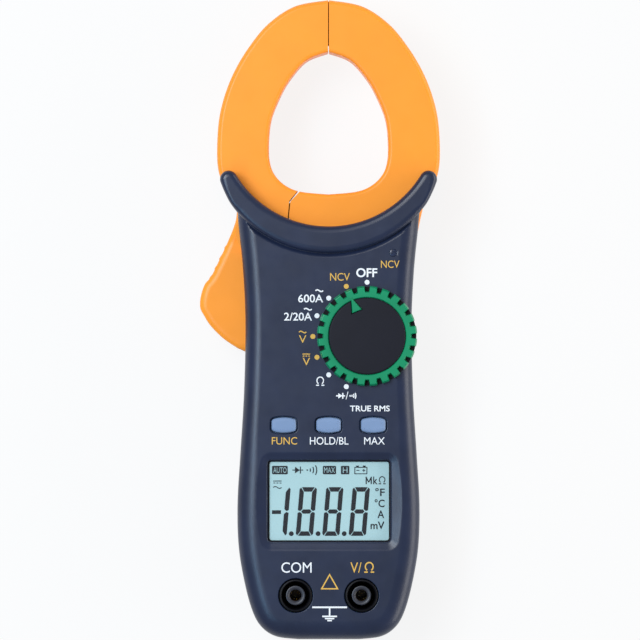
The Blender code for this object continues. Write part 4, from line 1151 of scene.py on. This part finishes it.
def lettering(text, centre, width, height, z_low, weight=0.0):
    """Text as a thin mesh, fitted to the width and height about its centre."""
    curve = bpy.data.curves.new("lettering", "FONT")
    curve.body = text
    curve.extrude = 0.5
    curve.offset = weight
    curve.resolution_u = 5
    made = add_object("lettering", curve)
    bpy.context.view_layer.update()
    mesh = bpy.data.meshes.new_from_object(made.evaluated_get(bpy.context.evaluated_depsgraph_get()))
    bpy.data.objects.remove(made, do_unlink=True)
    low = [min(v.co[i] for v in mesh.vertices) for i in range(3)]
    high = [max(v.co[i] for v in mesh.vertices) for i in range(3)]
    fit = [size / (h - l) for size, l, h in zip((width, height, PRINT_THICKNESS), low, high)]
    for vertex in mesh.vertices:
        vertex.co.x = (centre[0] + (vertex.co.x - (low[0] + high[0]) / 2) * fit[0]) * MM
        vertex.co.y = (centre[1] + (vertex.co.y - (low[1] + high[1]) / 2) * fit[1]) * MM
        vertex.co.z = (z_low + (vertex.co.z - low[2]) * fit[2]) * MM
    return add_object("lettering_" + text, mesh)


def words(texts, z_low, origin=(0.0, 0.0)):
    return [lettering(text, (origin[0] + x, origin[1] + y), *size, z_low, weight)
            for text, (x, y), size, weight in texts]


def merged(name, objects):
    """One mesh object from several."""
    bm = bmesh.new()
    for obj in objects:
        bm.from_mesh(obj.data)
        bpy.data.objects.remove(obj, do_unlink=True)
    mesh = bpy.data.meshes.new(name)
    bm.to_mesh(mesh)
    bm.free()
    return add_object(name, mesh)


def omega(centre, height, width):
    """The ohm sign, as an open ring and two feet."""
    thick = height * 0.13
    radius = height * 0.40
    ring = stroke(arc((0, height * 0.08), radius, -58, 238, 25), thick)
    foot_y = (thick - height) / 2
    feet = [bar((side * radius * 0.82, foot_y), radius * 0.9, thick) for side in (-1, 1)]
    spread = width / (radius * 2.54)
    return [[(centre[0] + x * spread, centre[1] + y) for x, y in shape] for shape in [ring, *feet]]


def letter_m(centre, width, height, thick):
    x, y = centre
    side, top = (width - thick) / 2, (height - thick) / 2
    arms = [stroke([(x + s * side, y + top), (x, y - top * 0.6)], thick * 0.9) for s in (-1, 1)]
    return [bar((x + s * side, y), thick, height) for s in (-1, 1)] + arms


def wave_sign(centre, width, thick):
    """The alternating current sign."""
    steps = 16
    points = [(centre[0] + width * (i / steps - 0.5), centre[1] + width * 0.11 * sin(tau * i / steps))
              for i in range(steps + 1)]
    return stroke(points, thick)


def diode_sign(centre, size, thick):
    x, y = centre
    return [
        stroke([(x - size, y), (x + size, y)], thick),
        [(x - size * 0.5, y + size * 0.6), (x - size * 0.5, y - size * 0.6), (x + size * 0.4, y)],
        bar((x + size * 0.5, y), thick, size * 1.3),
    ]


def sound_sign(centre, step, thick, waves=3):
    """A dot and the waves that spread from it."""
    shapes = [circle(centre, thick * 0.75, 16)]
    for i in range(1, waves + 1):
        shapes.append(stroke(arc(centre, step * i, -30, 30, 13), thick))
    return shapes


def direct_sign(centre, width, step, dash, thick):
    """The direct current sign: a line over three dashes."""
    dashes = [(step * i, -0.65, dash, thick) for i in (-1, 0, 1)]
    return bars(centre, (0, 0, width, thick), *dashes)


def range_marks(*indices):
    """The dots round the dial at its ranges, counted from OFF."""
    middle = (DIAL[0], DIAL[1] - MARK_DROP)
    places = [polar(middle, MARK_CIRCLE_R, radians(90 + RANGE_STEP_DEG * index)) for index in indices]
    return [circle(place, MARK_DOT_R, 32) for place in places]


def white_print():
    texts = [
        ("OFF", (12.4, 51.15), (6.8, 2.95), 0.02), ("600A", (-5.8, 42.8), (8.1, 2.6), 0.01),
        ("2/20A", (-9.9, 36.9), (9.05, 2.6), 0.01), ("TRUE RMS", (13.4, 7.1), (12.9, 1.9), 0.016),
        ("HOLD/BL", (0.2, -3.4), (12.5, 2.45), 0.0), ("MAX", (14.9, -3.4), (6.7, 2.35), 0.0),
        ("COM", (-10.4, -44.5), (9.8, 3.4), 0.0), ("/", (6.0, 11.3), (0.9, 2.5), 0.0),
    ]
    shapes = range_marks(0, 2, 3, 6, 7)
    shapes += [wave_sign((-3.0, 45.3), 2.5, 0.42), wave_sign((-6.7, 39.3), 2.5, 0.42)]
    shapes += omega((-2.7, 15.9), 2.9, 2.7)
    shapes += diode_sign((3.9, 11.2), 1.45, 0.42) + sound_sign((7.0, 11.2), 0.62, 0.36)
    earth_sign = ((0, 0, 11.3, 0.55), (0, -1.5, 0.5, 2.6), (0, -2.95, 4.8, 0.5), (0, -3.65, 3.0, 0.45),
                  (0, -4.3, 1.5, 0.45))
    shapes += bars((0.35, -57.4), *earth_sign)
    return words(texts, PRINT_Z) + [flat_shapes(shapes, PRINT_Z)]


def gold_print():
    texts = [
        ("NCV", (3.7, 49.8), (6.4, 2.5), 0.0), ("NCV", (20.0, 53.9), (6.0, 2.4), 0.0),
        ("V", (-8.4, 29.6), (2.4, 2.5), 0.0), ("V", (-7.2, 22.3), (2.4, 2.5), 0.0),
        ("FUNC", (-14.3, -3.4), (8.2, 2.4), 0.0), ("V/", (8.9, -44.5), (3.6, 3.4), 0.0),
    ]
    shapes = range_marks(1, 4, 5) + [wave_sign((-8.4, 31.9), 2.4, 0.36)]
    shapes += direct_sign((-7.2, 24.75), 2.5, 0.9, 0.55, 0.3) + omega((13.2, -44.5), 3.4, 3.2)
    triangle = triangle_frame((0.35, -49.0), 5.9, 5.2, 0.5)
    return words(texts, PRINT_Z) + [flat_shapes(shapes, PRINT_Z), triangle]


def triangle_frame(centre, width, height, thick):
    """A plain triangle drawn as a line."""
    x, y = centre
    outer = [(x - width / 2, y - height / 2), (x + width / 2, y - height / 2), (x, y + height / 2)]
    ring = prism(outer, PRINT_Z, PRINT_Z + PRINT_THICKNESS)
    cut(ring, prism(eased(outer, thick), PRINT_Z - 1, PRINT_Z + 1))
    return settle(ring)


def face_print(look):
    finish(merged("print_white", white_print()), look["white_ink"], "case", "case_blue")
    finish(merged("print_gold", gold_print()), look["gold_ink"], "case", "case_blue")


def seven_segments(centre, only=None):
    """The seven bars of a digit, with fine gaps between them."""
    x, y = centre
    half_w, half_h, thick, gap = 2.8, 7.9, 1.45, 0.14
    inner_w = half_w - thick
    end = 0.65
    shapes = {}
    for key, side, top in (("f", -1, 1), ("b", 1, 1), ("e", -1, -1), ("c", 1, -1)):
        out_x, in_x = side * half_w, side * inner_w
        outer_y, mid_y = top * half_h, top * gap
        shapes[key] = [
            (out_x, outer_y - top * end), (out_x, mid_y + top * 0.3), ((out_x + in_x) / 2, mid_y),
            (in_x, mid_y + top * end), (in_x, outer_y - top * (thick + gap)),
            (out_x - side * 0.45, outer_y - top * 0.12),
        ]
    for key, top in (("a", 1), ("d", -1)):
        edge, inside = top * half_h, top * half_h - top * thick
        shapes[key] = [(-half_w + 0.75, edge), (half_w - 0.75, edge), (inner_w - 0.1, inside),
                       (-inner_w + 0.1, inside)]
    long, short, half_thick = inner_w + 0.35, inner_w - 0.25, 0.68
    shapes["g"] = [(-long, 0), (-short, half_thick), (short, half_thick), (long, 0),
                   (short, -half_thick), (-short, -half_thick)]
    lean = 0.085
    return [[(x + px + (y + py - y) * lean, y + py) for px, py in shapes[key]]
            for key in only or sorted(shapes)]


def framed_text(text, centre, width, height, letter_width, z):
    """A dark block with its letters cut out of it."""
    outline = bowed_rectangle(centre, (width, height), 0.3, corner=3, side=1)
    block = prism(outline, z, z + PRINT_THICKNESS)
    letters = lettering(text, centre, letter_width, height * 0.66, z - 0.01)
    letters.data.transform(Matrix.Translation((0, 0, -z * MM)))
    letters.data.transform(Matrix.Diagonal((1, 1, 4, 1)))
    letters.data.transform(Matrix.Translation((0, 0, (z - 0.03) * MM)))
    cut(block, letters)
    return settle(block)


def lcd_marks(look):
    """Every segment that the display shows. Places are from the window's middle."""
    def at(x, y):
        return WINDOW[0] + x, WINDOW[1] + y

    z = node_box("lcd_panel")[1][2] + 0.02
    shapes = []
    for x in (-7.4, 1.2, 9.8):
        shapes += seven_segments(at(x, -3.4))
    shapes += seven_segments(at(-15.95, -3.4), ("b", "c"))
    shapes += bars(WINDOW, (-17.1, -3.6, 2.9, 1.2))
    shapes += [circle(at(x, -10.6), 0.78, 24) for x in (-12.3, -3.6, 4.9)]
    shapes += diode_sign(at(-10.2, 10.05), 1.75, 0.3) + sound_sign(at(-7.1, 10.05), 1.02, 0.34)
    battery_sign = (
        (0, 1.0, 4.2, 0.28), (0, -1.1, 4.2, 0.28), (-1.96, 0, 0.28, 1.9), (1.96, 0, 0.28, 1.9),
        (-1.1, 1.3, 0.9, 0.5), (1.1, 1.3, 0.9, 0.5), (-0.95, 0, 0.95, 0.26), (0.95, 0, 0.95, 0.26),
        (0.95, -0.3, 0.26, 0.34), (0.95, 0.3, 0.26, 0.34),
    )
    shapes += bars(at(10.3, 9.95), *battery_sign)
    shapes += direct_sign(at(-16.8, 6.5), 2.8, 1.0, 0.65, 0.26)
    shapes.append(wave_sign(at(-16.8, 4.4), 2.7, 0.28))
    shapes += omega(at(17.2, 6.7), 2.5, 2.3) + letter_m(at(12.85, 6.7), 2.0, 2.4, 0.38)
    texts = [
        ("°F", (16.5, 2.9), (3.1, 2.6), 0.015), ("°C", (16.4, -0.7), (3.2, 2.6), 0.015),
        ("A", (16.8, -4.3), (2.2, 2.5), 0.015), ("mV", (15.7, -7.9), (4.5, 2.5), 0.015),
        ("k", (15.0, 6.7), (1.4, 2.5), 0.015),
    ]
    badges = (("AUTO", -16.0, 5.1, 4.3), ("MAX", 0.1, 4.3, 3.5), ("H", 5.2, 2.75, 1.5))
    parts = [flat_shapes(shapes, z)] + words(texts, z, WINDOW)
    parts += [framed_text(text, at(x, 10.05), width, 2.75, letter_width, z)
              for text, x, width, letter_width in badges]
    finish(merged("lcd_marks", parts), look["segment"], "case", "lcd_glass")


# ---------------------------------------------------------------- scene

def area_light(name, place, aim, size, watts, colour):
    data = bpy.data.lights.new(name, "AREA")
    data.shape = "RECTANGLE"
    data.size, data.size_y = size
    data.energy = watts
    data.color = colour
    light = add_object(name, data)
    light.location = place
    light.rotation_mode = "QUATERNION"
    light.rotation_quaternion = (Vector(aim) - Vector(place)).to_track_quat("-Z", "Y")


def studio():
    """A pale light table, soft light from all round, and the camera straight above the display face."""
    scene = bpy.context.scene
    world = bpy.data.worlds.new("studio_air")
    world.use_nodes = True
    background = world.node_tree.nodes["Background"]
    background.inputs["Color"].default_value = (0.95, 0.97, 1.0, 1.0)
    background.inputs["Strength"].default_value = 0.34
    scene.world = world
    middle = (0.0, 0.036, 0.02)
    area_light("key_softbox", (-0.48, 0.36, 1.00), middle, (0.6, 0.6), 8.9, (1.0, 0.98, 0.95))
    area_light("blue_strip", (-0.22, 0.03, 0.42), middle, (0.50, 0.07), 0.85, (0.32, 0.66, 1.0))
    area_light("right_panel", (0.80, 0.03, 0.22), middle, (1.4, 0.38), 6.5, (1.0, 0.97, 0.93))

    bm = bmesh.new()
    bmesh.ops.create_grid(bm, x_segments=8, y_segments=8, size=3000.0)
    floor = new_object("pale_floor", bm)
    floor.location = (0.0, 0.036, -0.0004)
    paper = new_material("light_table", (0.10, 0.10, 0.10), 0.9, specular=0.0)
    set_shader(paper, Emission_Color=(1.0, 1.0, 1.0, 1.0), Emission_Strength=0.86)
    add_bump(paper, noise(paper, 300.0), 0.05, 0.1)
    floor.data.materials.append(paper)

    camera_z, face_z, view_width = 2.0, 0.025, 0.2083
    data = bpy.data.cameras.new("camera")
    data.sensor_width = 36.0
    data.lens = data.sensor_width * (camera_z - face_z) / view_width
    data.clip_start, data.clip_end = 0.05, 20.0
    camera = add_object("camera", data)
    camera.location = (-0.00277, 0.0358, camera_z)
    scene.camera = camera
    scene.view_settings.view_transform = "Standard"


def build():
    look = materials()
    studio()
    dress_nodes(look)
    front_shell(look)
    rear_shell(look)
    battery_cover(look)
    for node in CASE_SCREWS:
        screw(node, 2.6, 1.6, 1.25, look)
    screw("battery_cover_screw", 2.5, 0.8, 1.1, look)
    for front in (True, False):
        fixed_jaw_shell(front, look)
        moving_jaw_shell(front, look)
    closing_spring(look)
    painted_shade_disc(look)
    range_dial(look)
    dial_cap(look)
    for name, place in BUTTONS.items():
        button(name, place, look)
    window(look)
    for name, place in JACKS.items():
        jack(name, place, look)
    lamp(look)
    face_print(look)
    lcd_marks(look)


build()
bpy.context.view_layer.update()
